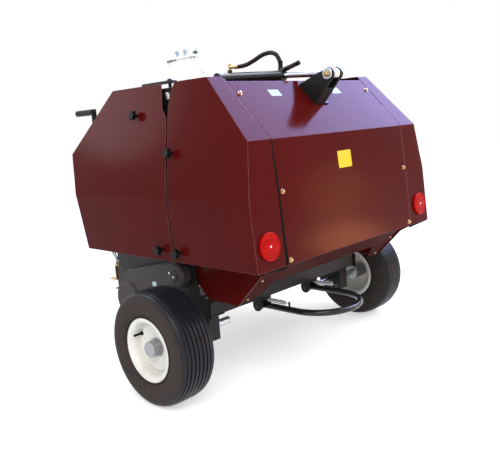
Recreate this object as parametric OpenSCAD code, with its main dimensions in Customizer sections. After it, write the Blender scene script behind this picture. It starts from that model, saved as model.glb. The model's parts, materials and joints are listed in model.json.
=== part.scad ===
// Small round baler for a compact tractor's three-point hitch.
// X points forwards, Y to the left and Z up, in millimetres.
// Lengths along X are counted from the wheel axle, which stands at axle_x.

/* [Overall] */
// axle from the middle of the machine
axle_x = -157; // [-190:1:-130]
// width of the body over the fold in the side covers
body_w = 1050; // [1000:2:1080]
// height of the flat top
top_z = 1095; // [1085:1:1120]
// depth of the flat deck below the upper edges of the covers
deck_drop = 16; // [12:1:20]
// height of the fold in the side covers
fold_z = 704; // [660:1:740]
// height of the lower edge of the side covers
skirt_z = 484; // [470:1:510]
// inward lean of the upper side covers in degrees
lean_deg = 9.65; // [7:0.05:10]
// thickness of the sheet steel
sheet_t = 3; // [2:0.5:4]
// gap left where one piece is bolted or laid on another
seat = 0.2; // [0.1:0.05:0.3]
// radial clearance of turning pins and shafts
run_fit = 0.3; // [0.2:0.05:0.4]

/* [Rear outline] */
// lower end of the rear face behind the axle
rear_low_x = -414; // [-424:1:-404]
// rear face at the height of the side fold
rear_mid_x = -397; // [-403:1:-391]
// upper end of the rear face behind the axle
rear_high_x = -379; // [-389:1:-370]
// height where the rear face meets the slant
slant_z = 886; // [860:1:910]
// upper end of the slant behind the axle
slant_top_x = -183; // [-200:1:-170]
// half the width of the middle rear panel
panel_half = 385; // [360:1:395]
// gap between the middle panel and the corner panels
panel_gap = 6; // [4:1:12]

/* [Front outline] */
// front end of the flat top
front_top_x = 343; // [330:1:360]
// nose of the side covers
nose_x = 621; // [600:1:640]
// height of the nose
nose_z = 864; // [840:1:890]
// front edge at the fold
front_fold_x = 585; // [570:1:600]
// front edge at the lower end
front_low_x = 531; // [520:1:550]

/* [Seam and tailgate hinge] */
// seam between front and rear covers at the notch
seam_high_x = 11; // [6:1:16]
// seam at the fold
seam_fold_x = -1; // [-6:1:4]
// seam at the lower edge
seam_low_x = -16; // [-22:1:-10]
// height of the notch in the seam
notch_z = 976; // [960:1:1000]
// gap in the seam
seam_gap = 8; // [6:1:12]
// hinge axis of the tailgate in front of the axle
hinge_x = 30; // [26:1:34]
// hinge axis above the ground
hinge_z = 1052; // [1046:1:1054]
// diameter of the hinge bolts
hinge_d = 16; // [14:1:18]

/* [Side walls] */
// distance from the middle to the inside of the frame walls
wall_y = 440; // [438:1:442]
// thickness of the frame walls
wall_t = 6; // [5:0.5:7]
// thickness of the tailgate walls
gate_wall_t = 5; // [4:0.5:6]
// side gap between the frame walls and the tailgate walls
gate_gap = 6; // [5.5:0.5:7]

/* [Wheels] */
// tyre diameter
tyre_d = 406; // [396:1:410]
// tyre width
tyre_w = 150; // [140:1:154]
// side gap between the chain guard and the tyre
wheel_gap = 38.8; // [36:0.2:46]
// rim flange diameter
rim_d = 228; // [216:1:236]
// stub axle diameter
stub_d = 28; // [24:1:30]
// length of the stub axle inside its leg
stub_tail = 97; // [80:1:110]

/* [Axle beam and kicker] */
// axle beam behind the wheel axle
beam_x = -60; // [-70:1:-50]
// middle of the axle beam above the ground
beam_z = 297; // [290:1:299]
// side of the square axle beam
beam_side = 50; // [40:1:52]
// width of the axle legs under the beam
leg_w = 50; // [44:1:56]
// lower end of the axle legs below the stub axle
leg_drop = 35; // [28:1:40]
// height of the kicker pivots
kick_z = 238; // [234:1:244]
// diameter of the kicker pivot pins
kick_pin_d = 12; // [10:1:14]
// rear end of the kicker hoop behind the axle
kick_rear_x = -384; // [-392:1:-370]
// diameter of the hoop tube
kick_d = 24; // [20:1:26]
// half the width of the hoop
hoop_half = 148; // [140:1:156]

/* [Pick-up] */
// reel axis in front of the wheel axle
reel_x = 342; // [334:1:350]
// reel axis above the ground
reel_z = 288; // [282:1:296]
// radius to the tine tips
tine_r = 180; // [172:1:183]
// radius of the round stripper bands
band_r = 145; // [141:1:149]
// number of stripper bands
band_n = 12; // [10:1:14]
// width of one stripper band
band_w = 42; // [34:1:48]
// pitch of the stripper bands
band_pitch = 62; // [58:1:66]
// diameter of the tine bars
bar_d = 24; // [20:1:28]
// radius to the middle of the tine bars
bar_r = 100; // [92:1:106]
// diameter of one tine
tine_d = 6; // [5:0.5:8]
// distance from the middle to the pick-up side plates
pick_y = 400; // [396:1:404]
// rear rails of the pick-up in front of the axle
rail_x = 201; // [200:1:206]

/* [Chamber rollers] */
// middle of the bale chamber above the ground
chamber_z = 690; // [680:1:700]
// radius to the roller axes
roll_ring = 305; // [298:1:310]
// roller diameter
roll_d = 84; // [76:1:88]
// gap between a roller's end and the gate wall beside it
roll_gap = 11; // [9:1:30]
// diameter of the roller shaft ends
roll_shaft_d = 30; // [24:1:36]

/* [Hitch] */
// lower link pins in front of the axle
pin_x = 670; // [660:1:690]
// lower link pins above the ground
pin_z = 475; // [465:1:485]
// distance between the lower link shoulders
pin_span = 683; // [675:1:700]
// diameter of the lower link pins
pin_d = 22; // [21.5:0.1:22]
// length of the lower link pins
pin_l = 90; // [80:1:100]
// height of the mast above the lower pins
mast_h = 460; // [440:1:480]
// diameter of the top link hole
top_hole_d = 19.3; // [19:0.1:20]
// inside width of the top link jaw
top_jaw = 52; // [48:1:60]
// side of the square cross tube
cross_side = 70; // [60:1:74]
// cross tube in front of the axle
cross_x = 600; // [596:1:604]
// cross tube above the ground
cross_z = 556; // [550:1:562]

/* [Drive] */
// drive input shaft above the ground
pto_z = 668; // [660:1:676]
// front end of the drive input shaft
pto_end_x = 734; // [724:1:740]
// diameter of the splined input shaft
pto_d = 34.9; // [34:0.1:36]

/* [Ram] */
// base pin of the ram in front of the axle
ram_base_x = 215; // [208:1:222]
// base pin of the ram above the deck
ram_lift = 51; // [48:1:56]
// rod pin of the ram behind the axle
ram_pin_x = -351; // [-358:1:-344]
// rod pin of the ram above the ground
ram_pin_z = 1089; // [1084:1:1093]
// side offset of the ram
ram_y = 8; // [0:1:20]
// outside diameter of the barrel
barrel_d = 40; // [36:1:42]
// length of the barrel in front of the base pin
barrel_l = 341; // [330:1:350]
// rod diameter
rod_d = 20; // [16:1:22]
// diameter of the ram pins
ram_pin_d = 20; // [16:1:22]
// hose outside diameter
hose_d = 17; // [14:1:20]

/* [Stand] */
// parking stand in front of the axle
stand_x = 665; // [660:1:672]
// side offset of the parking stand
stand_y = -230; // [-240:1:-222]
// side of the square stand leg
leg_side = 38; // [34:1:40]
// clearance of the leg in its sleeve
leg_fit = 0.3; // [0.2:0.05:0.5]

/* [Hidden] */
$fn = 48;
maroon = [0.36, 0.07, 0.07];
black = [0.08, 0.08, 0.09];
zinc = [0.66, 0.67, 0.66];
half_w = body_w / 2;
lean = tan(lean_deg);
half_top = half_w - lean * (top_z - fold_z);
tyre_r = tyre_d / 2;
axle_z = tyre_r;
gate_y = wall_y - gate_gap - gate_wall_t;
roll_l = 2 * (gate_y - roll_gap);
fold_in = 14;
lid_w = 784;
lid_gap = 5;
lid_roll_d = 10;
box_x = 375;
box_z = 760;
deck_z = top_z - deck_drop;
ram_base_z = deck_z + ram_lift;
guard_t = 40;
band_turn = 30;
low_run = 142;
rail_side = 22;
side_line = [[rail_x - reel_x, band_r + 24], [tine_r - 30, band_r + 16], [tine_r + 8, band_r - 30],
    [tine_r + 8, 6], [tine_r - 12, -0.5 * band_r], [0.8 * band_r, -band_r + 5], [0.2 * band_r, -band_r - 12],
    [-0.45 * band_r, -band_r - 2], low_point(low_run - rail_side, 24), low_point(low_run + 2, 24),
    low_point(low_run + 2, -6), [-0.9 * band_r, 0.3 * band_r], [rail_x - reel_x, band_r]];
reel_shaft_d = 35;
track = 2 * (wall_y + wall_t + seat + guard_t + wheel_gap) + tyre_w;
leg_y = wall_y - 14 - leg_w;
beam_low = beam_z - beam_side / 2;
spring_z = beam_low - 10;
peg_x = beam_x - 140;
gold = [0.75, 0.6, 0.25];
ram_eye_w = 34;
ram_eye_d = 38;
port_x = 52;
pin_neck_d = pin_d - 3;
gland_x = barrel_l - 17;
hose_z = barrel_d / 2 + 22;
ram_run = norm([ram_pin_x - ram_base_x, ram_pin_z - ram_base_z]);
ram_tilt = atan2(ram_base_z - ram_pin_z, ram_base_x - ram_pin_x);
rear_line = [[rear_low_x, skirt_z], [rear_mid_x, fold_z], [rear_high_x, slant_z], [slant_top_x, top_z],
    [hinge_x - 70, top_z]];
up_slant = unit([slant_top_x - rear_high_x, top_z - slant_z]);
off_slant = [-up_slant[1], up_slant[0]];
panel_top = [slant_top_x, top_z] - up_slant * deck_drop / up_slant[1];
panel_line = [rear_line[0], rear_line[1], rear_line[2], panel_top, [hinge_x - 50, deck_z]];
slope_end = [front_top_x, top_z] + 0.96 * [nose_x - front_top_x, nose_z - top_z];
front_line = inset([[hinge_x - 40, top_z], [front_top_x, top_z], slope_end], deck_drop);

// angles of the roller axes round the chamber
front_rolls = [-8, -61, -82];
gate_rolls = [-103, -124];
// places of the knobs that hold the covers
front_holds = [[182, 993], [47, 523]];
gate_holds = [[-23, 856], [-51, 520]];

// sheet outline of thickness t on the right of a bent line
function turn(a) = [a[1], -a[0]];
function unit(a) = a / norm(a);
function side_of(p, i) = turn(unit(p[i + 1] - p[i]));
function mitre(a, b) = (a + b) / (1 + a * b);
function shift_at(p, i) = i == 0 ? side_of(p, 0) : i == len(p) - 1 ? side_of(p, i - 1) :
    mitre(side_of(p, i - 1), side_of(p, i));
// point beside the lower straight of the bands, s along it and d outside it, from the reel's axis
function low_point(s, d) = [-band_r * sin(band_turn) - s * cos(band_turn) - d * sin(band_turn),
    -band_r * cos(band_turn) + s * sin(band_turn) - d * cos(band_turn)];
function band(p, t) = concat(p, [for (i = [len(p) - 1:-1:0]) p[i] + t * shift_at(p, i)]);

function inset(p, t) = [for (i = [0:len(p) - 1]) p[i] + t * shift_at(p, i)];
function skin_y(z) = half_w - lean * max(0, z - fold_z);
function at_ring(deg) = [roll_ring * cos(deg), chamber_z + roll_ring * sin(deg)];

module from_axle() {
    translate([axle_x, 0, 0]) children();
}

module both() {
    children();
    mirror([0, 1, 0]) children();
}

// plate in a plane along the machine, from y to y + t
module plate(y, t) {
    translate([0, y + t, 0]) rotate([90, 0, 0]) linear_extrude(t) children();
}

// prism across the machine
module across(w) {
    plate(-w / 2, w) children();
}

// round bar across the machine from y to y + l
module rod_y(x, y, z, d, l) {
    translate([x, y, z]) rotate([-90, 0, 0]) cylinder(d = d, h = l);
}

// round bar along the machine from x to x + l
module rod_x(x, y, z, d, l) {
    translate([x, y, z]) rotate([0, 90, 0]) cylinder(d = d, h = l);
}

// straight square bar between two points
module strut(a, b, side) {
    v = b - a;
    translate(a) rotate([0, acos(v[2] / norm(v)), atan2(v[1], v[0])]) translate([-side / 2, -side / 2, 0])
        cube([side, side, norm(v)]);
}

// slot-shaped outline between two points
module slot(a, b, r) {
    v = b - a;
    translate(a) circle(r);
    translate(b) circle(r);
    translate(a) rotate(atan2(v[1], v[0])) translate([0, -r]) square([norm(v), 2 * r]);
}

// the folded skin on the left, t thick and cut to a side view given as a child
module skin(t) {
    intersection() {
        translate([2 * rear_low_x, 0, 0]) rotate([90, 0, 90]) linear_extrude(4 * nose_x)
            polygon(band([[half_w, skirt_z], [half_w, fold_z], [half_top, top_z]], -t));
        plate(half_w / 2, half_w) children();
    }
}

// post from a wall at y0 out to the skin, where a knob holds it
module post(k, y0) {
    r = 8;
    y = skin_y(max(k[1] + r, fold_z)) - sheet_t / cos(lean_deg) - seat;
    rod_y(k[0], y0, k[1], 2 * r, y - y0);
}

// straight strip along the lower edge of a cover, from x0 to x1
module hem(x0, x1) {
    translate([x0, skirt_z]) square([x1 - x0, sheet_t]);
}

// side cover with its front and lower edges folded inwards
module front_cover() {
    g = seam_gap / 2;
    edge = [[front_top_x, top_z], [nose_x, nose_z], [front_fold_x, fold_z], [front_low_x, skirt_z]];
    skin(sheet_t) polygon(concat(edge, [[seam_low_x + g, skirt_z], [seam_fold_x + g, fold_z],
        [seam_high_x + g, notch_z], [hinge_x + 9, notch_z + 33], [hinge_x + 20, top_z]]));
    skin(fold_in) polygon(band(edge, sheet_t));
    skin(fold_in) hem(seam_low_x + g, front_low_x);
}

// rounded edge of the notch above the seam, from the seam up to the top
function notch_curve() = [for (i = [0:8]) let (t = i / 8, a = [seam_high_x - seam_gap / 2, notch_z],
    b = [seam_high_x - seam_gap / 2, top_z - 40], c = [hinge_x - 54, top_z])
    (1 - t) * (1 - t) * a + 2 * t * (1 - t) * b + t * t * c];

// side cover of the tailgate with the rear corner folded round
module gate_cover() {
    g = seam_gap / 2;
    skin(sheet_t) polygon(concat([[slant_top_x, top_z], [rear_high_x, slant_z], [rear_mid_x, fold_z],
        [rear_low_x, skirt_z], [seam_low_x - g, skirt_z], [seam_fold_x - g, fold_z]], notch_curve()));
    skin(fold_in) hem(rear_low_x, seam_low_x - g);
    intersection() {
        plate(panel_half + panel_gap, half_w) polygon(band(rear_line, sheet_t));
        translate([2 * rear_low_x, 0, 0]) rotate([90, 0, 90]) linear_extrude(-2 * rear_low_x)
            polygon([[0, skirt_z], [half_w, skirt_z], [half_w, fold_z], [half_top, top_z], [0, top_z]]);
    }
}

module side_wall() {
    f = inset(front_line, sheet_t + seat);
    plate(wall_y, wall_t) difference() {
        union() {
            polygon([[hinge_x, f[0][1]], f[1], f[2], [front_fold_x - 12, fold_z],
                [front_low_x - 6, skirt_z + 4], [460, skirt_z + 4], [440, 400], [400, 372], [120, 372],
                [beam_x + beam_side, beam_low - 8], [beam_x - 0.7 * beam_side, beam_low - 8],
                [beam_x - 0.7 * beam_side, beam_low + beam_side], [-40, 345], [seam_low_x, skirt_z],
                [seam_fold_x, fold_z], [seam_high_x, notch_z], [hinge_x - 22, hinge_z]]);
            translate([hinge_x, hinge_z]) circle(22);
        }
        translate([hinge_x, hinge_z]) circle(d = hinge_d + 2 * seat);
        for (a = front_rolls) translate(at_ring(a)) circle(r = roll_shaft_d / 2 + run_fit);
    }
    for (k = front_holds) post(k, wall_y + wall_t - 1);
}

module left_wall() {
    color(black) from_axle() side_wall();
}

module right_wall() {
    color(black) from_axle() mirror([0, 1, 0]) side_wall();
}

// leg of the axle beam, open to the front, with the bore for the stub axle
module axle_leg() {
    back = beam_x + 5;
    low = axle_z - leg_drop;
    difference() {
        plate(leg_y, leg_w) polygon([[back, low], [stub_d + 2, low], [stub_d + 2, axle_z + stub_d],
            [beam_x + beam_side, beam_z], [beam_x + beam_side / 2, beam_z + 15], [beam_x + beam_side / 2, beam_low],
            [beam_x, beam_low + 1], [back, beam_low + 1]]);
        translate([back + 6, leg_y + 6, low - 1]) cube([beam_side * 2, leg_w - 12, beam_low - low - 5]);
        translate([beam_x + beam_side / 2, leg_y + 6, low]) cube([beam_side * 2, leg_w - 12, beam_side * 4]);
        rod_y(0, leg_y - 1, axle_z, stub_d + 2 * seat, leg_w + 2);
    }
}

module axle_beam() {
    color(black) from_axle() {
        translate([beam_x - beam_side / 2, -wall_y, beam_low]) cube([beam_side, 2 * wall_y, beam_side]);
        both() {
            axle_leg();
            for (s = [-1, 1]) plate(hoop_half - 4 + 26 * s, 8) difference() {
                union() {
                    translate([beam_x - 21, kick_z]) square([42, beam_low - kick_z + 1]);
                    translate([beam_x, kick_z]) circle(21);
                }
                translate([beam_x, kick_z]) circle(r = kick_pin_d / 2 + run_fit);
            }
            rod_y(beam_x - 15, hoop_half - 28, spring_z, 8, 56);
        }
    }
}

module stub_axles() {
    color(zinc) from_axle() both() {
        rod_y(0, leg_y - stub_tail, axle_z, stub_d, track / 2 + 22 - leg_y + stub_tail);
        rod_y(0, leg_y + leg_w + seat, axle_z, stub_d + 14, 12);
    }
}

module left_cover() {
    color(maroon) from_axle() front_cover();
}

module right_cover() {
    color(maroon) from_axle() mirror([0, 1, 0]) front_cover();
}

// flat deck and the strips beside the lid
module front_sheet() {
    w = wall_y + wall_t;
    y = lid_w / 2 + lid_gap;
    color(maroon) from_axle() {
        across(2 * w) polygon(band([front_line[0], front_line[1]], sheet_t));
        both() plate(y, w - y) polygon(band([front_line[1], front_line[2]], sheet_t));
    }
}

module twine_box() {
    f = inset([front_line[1], front_line[2]], 2 * sheet_t + seat);
    top = f[0] + (f[1] - f[0]) * 0.16;
    w = 2 * (wall_y - seat);
    back = box_x - sheet_t;
    nose = f[1] - [sheet_t, 0];
    color(maroon) from_axle() difference() {
        across(w) polygon([[back, box_z - 60], [box_x, box_z - 60], [box_x, box_z], [f[1][0] - 20, box_z], f[1],
            top, [back, top[1]]]);
        across(w - 2 * sheet_t) polygon([[box_x, box_z + sheet_t], [nose[0] - 20, box_z + sheet_t], nose,
            [nose[0], top_z], [box_x, top_z]]);
    }
}

// lid with a rolled upper edge, which is its hinge
module twine_lid() {
    f = inset([front_line[1], front_line[2]], sheet_t);
    a = f[0] + unit(f[1] - f[0]) * 14;
    m = inset([a, f[1]], sheet_t / 2)[0];
    color(maroon) from_axle() {
        across(lid_w) polygon(band([a, f[1]], sheet_t));
        rod_y(m[0], -lid_w / 2, m[1], lid_roll_d, lid_w);
    }
}

module hinge_bolts() {
    color(zinc) from_axle() both() {
        rod_y(hinge_x, gate_y - 2, hinge_z, hinge_d, wall_y + wall_t + 4 - gate_y);
        rod_y(hinge_x, wall_y + wall_t + seat, hinge_z, 1.6 * hinge_d, 7);
    }
}

// flat bars held above the deck by a bolt with a domed nut
module hinge_bars() {
    y = wall_y + wall_t / 2;
    color(black) from_axle() both() {
        translate([hinge_x - 20, y - 24, top_z]) cube([160, 32, 8]);
        translate([hinge_x, y - 8, deck_z + seat]) cylinder(d = 12, h = deck_drop + 8);
        translate([hinge_x + 110, y - 8, deck_z + seat]) cylinder(d = 12, h = deck_drop + 4);
        translate([hinge_x, y - 8, top_z + 7]) intersection() {
            cylinder(d = 20, h = 9);
            translate([0, 0, -3]) sphere(12);
        }
    }
}

module tyre() {
    w = tyre_w / 2;
    r = tyre_r;
    i = rim_d / 2;
    half = [[i - 20 + seat, 30], [i - 10, 18], [i + 2, 13.5], [i + 22, 3], [r - 40, 0], [r - 16, 5],
        [r - 4, 20], [r, 45]];
    low = [for (p = half) [p[0], p[1] - w]];
    high = [for (k = [len(half) - 1:-1:0]) [half[k][0], w - half[k][1]]];
    rotate([-90, 0, 0]) rotate_extrude($fn = 96) polygon(concat(low, high));
}

module rim() {
    w = tyre_w / 2;
    i = rim_d / 2;
    rotate([-90, 0, 0]) rotate_extrude($fn = 96) polygon([[32, 24], [60, 24], [78, 34], [i - 20, 20],
        [i - 20, -w + 28], [i - 11, -w + 16], [i, -w + 12], [i, -w + 8], [i - 15, -w + 10],
        [i - 24, -w + 26], [i - 24, 14], [i - 24, 14], [78, 28], [62, 18], [32, 18]]);
    rotate([-90, 0, 0]) rotate_extrude($fn = 96) polygon([[i - 24, 14], [i - 20, 14], [i - 20, w - 28],
        [i - 11, w - 16], [i, w - 12], [i, w - 8], [i - 15, w - 10], [i - 24, w - 26]]);
}

module hub() {
    difference() {
        rotate([-90, 0, 0]) rotate_extrude() polygon([[0, 59], [25, 59], [28, 56], [28, 30], [32, 30],
            [32, -56], [0, -56]]);
        rotate([-90, 0, 0]) translate([0, 0, -60]) cylinder(r = stub_d / 2 + run_fit, h = 60 + 27);
    }
}

module left_tyre() {
    color([0.05, 0.05, 0.05]) from_axle() translate([0, track / 2, axle_z]) tyre();
}

module left_rim() {
    color([0.86, 0.84, 0.78]) from_axle() translate([0, track / 2, axle_z]) rim();
}

module left_hub() {
    color(zinc) from_axle() translate([0, track / 2, axle_z]) hub();
}

module right_tyre() {
    color([0.05, 0.05, 0.05]) from_axle() mirror([0, 1, 0]) translate([0, track / 2, axle_z]) tyre();
}

module right_rim() {
    color([0.86, 0.84, 0.78]) from_axle() mirror([0, 1, 0]) translate([0, track / 2, axle_z]) rim();
}

module right_hub() {
    color(zinc) from_axle() mirror([0, 1, 0]) translate([0, track / 2, axle_z]) hub();
}

// blind bearing boss for a roller shaft on the inner side of a gate wall
module roll_boss(p) {
    l = roll_gap - 2;
    difference() {
        rod_y(p[0], gate_y - l, p[1], 2 * roll_shaft_d, l + 1);
        rod_y(p[0], gate_y - l - 1, p[1], roll_shaft_d + 2 * run_fit, l + 0.5);
    }
}

module gate_walls() {
    f = inset(rear_line, sheet_t + seat);
    g = inset(panel_line, sheet_t + seat);
    color(maroon) from_axle() both() {
        plate(gate_y, gate_wall_t) difference() {
            union() {
                polygon([[hinge_x - 15, hinge_z - 4], [hinge_x - 70, notch_z - 12], [hinge_x - 105, f[3][1] - 6],
                    f[3], f[2], f[1], f[0], [-338, 447], [-221, 331], [-76, 334], [39, 449], [20, 560],
                    [hinge_x - 5, notch_z - 36], [hinge_x + 15, hinge_z - 4]]);
                translate([hinge_x, hinge_z]) circle(r = hinge_d / 2 + 9);
            }
            translate([hinge_x, hinge_z]) circle(r = hinge_d / 2 + run_fit);
        }
        for (a = gate_rolls) roll_boss(at_ring(a));
        plate(panel_half - 35, gate_y - panel_half + 36)
            polygon(band([g[0] + (g[1] - g[0]) * 2 * sheet_t / (fold_z - skirt_z), g[1], g[2], g[3]], 4));
        for (k = gate_holds) post(k, gate_y + gate_wall_t - 1);
    }
}

module gate_left_cover() {
    color(maroon) from_axle() gate_cover();
}

module gate_right_cover() {
    color(maroon) from_axle() mirror([0, 1, 0]) gate_cover();
}

// middle panel with a folded lip below and the deck above
module gate_panel() {
    color(maroon) from_axle() across(2 * panel_half)
        polygon(band(concat([[rear_low_x + fold_in, skirt_z]], panel_line), sheet_t));
}

module gate_chute() {
    color(maroon) from_axle() across(2 * gate_y)
        polygon(band([[-196, 337], [-219, 337], [-334, 451], [rear_low_x + 22, skirt_z + 8]], sheet_t));
}

// arm of two plates on a foot, closed by a plate on its lower side
module ram_bracket() {
    a = [slant_top_x, top_z] - 46 * up_slant;
    b = a - 103 * up_slant;
    pin = [ram_pin_x, ram_pin_z];
    low = pin + 22 * unit([-1, -1.5]);
    w = ram_eye_w / 2 + 2;
    color(black) from_axle() translate([0, ram_y, 0]) {
        plate(-w - 32, 2 * w + 40) polygon([a + seat * off_slant, b + seat * off_slant, b + 6 * off_slant,
            a + 6 * off_slant]);
        for (s = [-1, 1]) plate(-4 + (w + 4) * s, 8) {
            polygon([b + 5 * off_slant, a + 5 * off_slant, pin + [6, 21], low]);
            translate(pin) circle(22);
        }
        plate(-w - 4, 2 * w + 8) polygon(band([b + 5 * off_slant, b + 5 * off_slant +
            0.62 * (low - b - 5 * off_slant)], 6));
        for (s = [-1, 1]) rod_y(pin[0], s > 0 ? w + 7 : -w - 15, pin[1], ram_pin_d + 6, 8);
    }
}

module reflectors() {
    z = skirt_z + 76;
    t = (z - skirt_z) / (fold_z - skirt_z);
    lay = atan2(fold_z - skirt_z, rear_mid_x - rear_low_x);
    color([0.6, 0.03, 0.03]) from_axle() both()
        translate([rear_low_x + t * (rear_mid_x - rear_low_x), half_w - 62, z]) rotate([0, -lay, 0])
            translate([0, 0, seat]) cylinder(d = 90, h = 9);
}

module ram_mount() {
    w = ram_eye_w / 2 + 2;
    color(black) from_axle() translate([0, ram_y, 0]) {
        translate([ram_base_x - 50, -60, deck_z + seat]) cube([110, 120, 6]);
        for (s = [-1, 1]) plate(-4 + (w + 4) * s, 8) {
            polygon([[ram_base_x - 34, deck_z + 5], [ram_base_x + 44, deck_z + 5], [ram_base_x + 20, ram_base_z],
                [ram_base_x - 20, ram_base_z]]);
            translate([ram_base_x, ram_base_z]) circle(20);
        }
        rod_y(ram_base_x, -w - 15, ram_base_z, ram_pin_d, 2 * w + 30);
    }
}

// the ram's own frame: base pin at the origin, rod towards +X
module ram_place() {
    translate([ram_base_x, ram_y, ram_base_z]) rotate([0, ram_tilt, 180]) children();
}

// place of the second line's port, slanting out of the gland
module second_port() {
    translate([barrel_l + 4, 0, barrel_d / 2 + 2]) rotate([0, 72, 0]) children();
}

// barrel with its base eye, the bored gland end and its ports on top
module ram_barrel() {
    e = ram_eye_w / 2;
    color(black) from_axle() ram_place() {
        difference() {
            union() {
                rod_y(0, -e, 0, ram_eye_d, 2 * e);
                rod_x(0, 0, 0, ram_eye_d - 8, port_x - 12);
            }
            rod_y(0, -e - 2, 0, ram_pin_d + 2 * run_fit, 2 * e + 4);
        }
        difference() {
            union() {
                rod_x(port_x - 22, 0, 0, barrel_d, barrel_l - port_x + 22);
                rod_x(barrel_l - 30, 0, 0, barrel_d + 2, 30);
                for (x = [port_x, gland_x]) translate([x, 0, 0]) cylinder(d = 20, h = barrel_d / 2 + 10);
                second_port() translate([0, 0, -24]) cylinder(d = 20, h = 24);
            }
            rod_x(port_x + 20, 0, 0, rod_d + 2 * run_fit, barrel_l);
        }
    }
}

module ram_rod() {
    e = ram_eye_w / 2;
    color(zinc) from_axle() ram_place() {
        rod_x(barrel_l - 60, 0, 0, rod_d, ram_run - barrel_l + 50);
        rod_x(ram_run - 46, 0, 0, rod_d + 10, 34);
        rod_y(ram_run, -e, 0, ram_eye_d, 2 * e);
    }
}

// bend of the hose round Y, which reaches a little into the straight pieces
module hose_bend(r, from, sweep) {
    more = 100 / r;
    rotate([90, 0, 0]) rotate([0, 0, from - more]) rotate_extrude(angle = sweep + 2 * more)
        translate([r, 0]) circle(d = hose_d - 0.6);
}

// hose from the base port over an arch to the gland, and the stub of the second line
module ram_hose() {
    z = hose_z;
    bend = 80;
    arch = 38;
    rise = 20;
    a = [gland_x - 177, z];
    b = a + bend * [sin(rise), 1 - cos(rise)];
    c = [gland_x - arch - arch * sin(rise), b[1] + (gland_x - arch - arch * sin(rise) - b[0]) * tan(rise)];
    low = c[1] - arch * cos(rise);
    color(black) from_axle() ram_place() {
        rod_x(port_x + 30, 0, z, hose_d, a[0] - port_x - 30);
        translate([a[0], 0, a[1] + bend]) hose_bend(bend, -90, rise);
        translate([b[0], 0, b[1]]) rotate([0, 90 - rise, 0]) cylinder(d = hose_d, h = norm(c - b));
        translate([gland_x - arch, 0, low]) hose_bend(arch, 0, 90 + rise);
        translate([gland_x, 0, barrel_d / 2 + 10 + seat]) cylinder(d = hose_d, h = low - barrel_d / 2 - 10 - seat);
        second_port() translate([0, 0, seat]) cylinder(d = hose_d, h = 76);
    }
}

// yellow-plated elbow on the base port
module ram_fittings() {
    color(gold) from_axle() ram_place() {
        translate([port_x, 0, barrel_d / 2 + 10 + seat]) cylinder(d = 14, h = hose_z - barrel_d / 2 + 2);
        translate([port_x, 0, hose_z + 2]) cylinder(d = 20, h = 8, $fn = 6);
        rod_x(port_x, 0, hose_z, 15, 30 - seat);
    }
}

// horseshoe of tube with pivot sleeves and a peg for each spring
module kicker() {
    x = kick_rear_x + hoop_half;
    color(black) from_axle() {
        both() {
            rod_y(beam_x, hoop_half - 32, kick_z, kick_pin_d, 64);
            rod_y(beam_x, hoop_half - 20, kick_z, kick_d + 10, 40);
            rod_x(x, hoop_half, kick_z, kick_d, beam_x - x);
            translate([peg_x, hoop_half, kick_z]) cylinder(d = 8, h = spring_z + 6 - kick_z);
        }
        translate([x, 0, kick_z]) rotate([0, 0, 90]) rotate_extrude(angle = 180)
            translate([hoop_half, 0]) circle(d = kick_d);
    }
}

// coil springs that hold the hoop up
module kicker_springs() {
    x0 = peg_x + 4 + seat;
    l = beam_x - 19 - seat - x0;
    turns = 18;
    step = (l - 24) / turns;
    coil = [for (i = [0:turns - 1], k = [0, 0.5]) [k > 0 ? 8 : 6.4, 12 + (i + k) * step]];
    color(zinc) from_axle() both() translate([x0, hoop_half, spring_z]) rotate([0, 90, 0]) rotate_extrude()
        polygon(concat([[0, 0], [2.5, 0], [2.5, 12]], coil, [[6.4, l - 12], [2.5, l - 12], [2.5, l], [0, l]]));
}

// frame at the lower straight of the bands, which runs back and up from the arc
module low_end() {
    translate([-band_r * sin(band_turn), 0, -band_r * cos(band_turn)]) rotate([0, band_turn, 0]) children();
}

module pickup_sides() {
    color(black) from_axle() {
        both() plate(pick_y, 6) translate([reel_x, reel_z]) difference() {
            polygon(side_line);
            circle(r = reel_shaft_d / 2 + run_fit);
        }
        translate([rail_x, -wall_y + seat, reel_z + band_r + seat])
            cube([rail_side, 2 * (wall_y - seat), rail_side]);
        translate([reel_x, -pick_y - 1, reel_z]) low_end() translate([-low_run, 0, -rail_side - seat])
            cube([rail_side, 2 * pick_y + 2, rail_side]);
    }
}

// bands round the front of the reel, open at the rear; the slimmer straights are tucked into the arc
module pickup_bands() {
    tuck = 3;
    slim = 0.1 * sheet_t;
    strip = [0, band_w - 2, sheet_t - 2 * slim];
    color([0.12, 0.12, 0.12]) from_axle() for (i = [0:band_n - 1])
        translate([reel_x, (i - (band_n - 1) / 2) * band_pitch - band_w / 2, reel_z]) {
            rotate([-90, 0, 0]) rotate([0, 0, -90]) rotate_extrude(angle = 180 + band_turn)
                translate([band_r - sheet_t, 0]) square([sheet_t, band_w]);
            translate([rail_x - reel_x, 1, band_r - sheet_t + slim])
                cube(strip + [reel_x - rail_x + tuck, 0, 0]);
            low_end() translate([-low_run, 1, slim]) cube(strip + [low_run + tuck, 0, 0]);
        }
}

// spring tine on its bar: the coil round the bar and the trailing finger
module tine() {
    l = tine_r - bar_r - 4;
    rod_y(bar_r, -9, 0, bar_d + 2 * tine_d, 18);
    translate([bar_r, 0, bar_d / 2 + 2]) rotate([0, 97, 0]) cylinder(d = tine_d, h = l);
}

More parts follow.
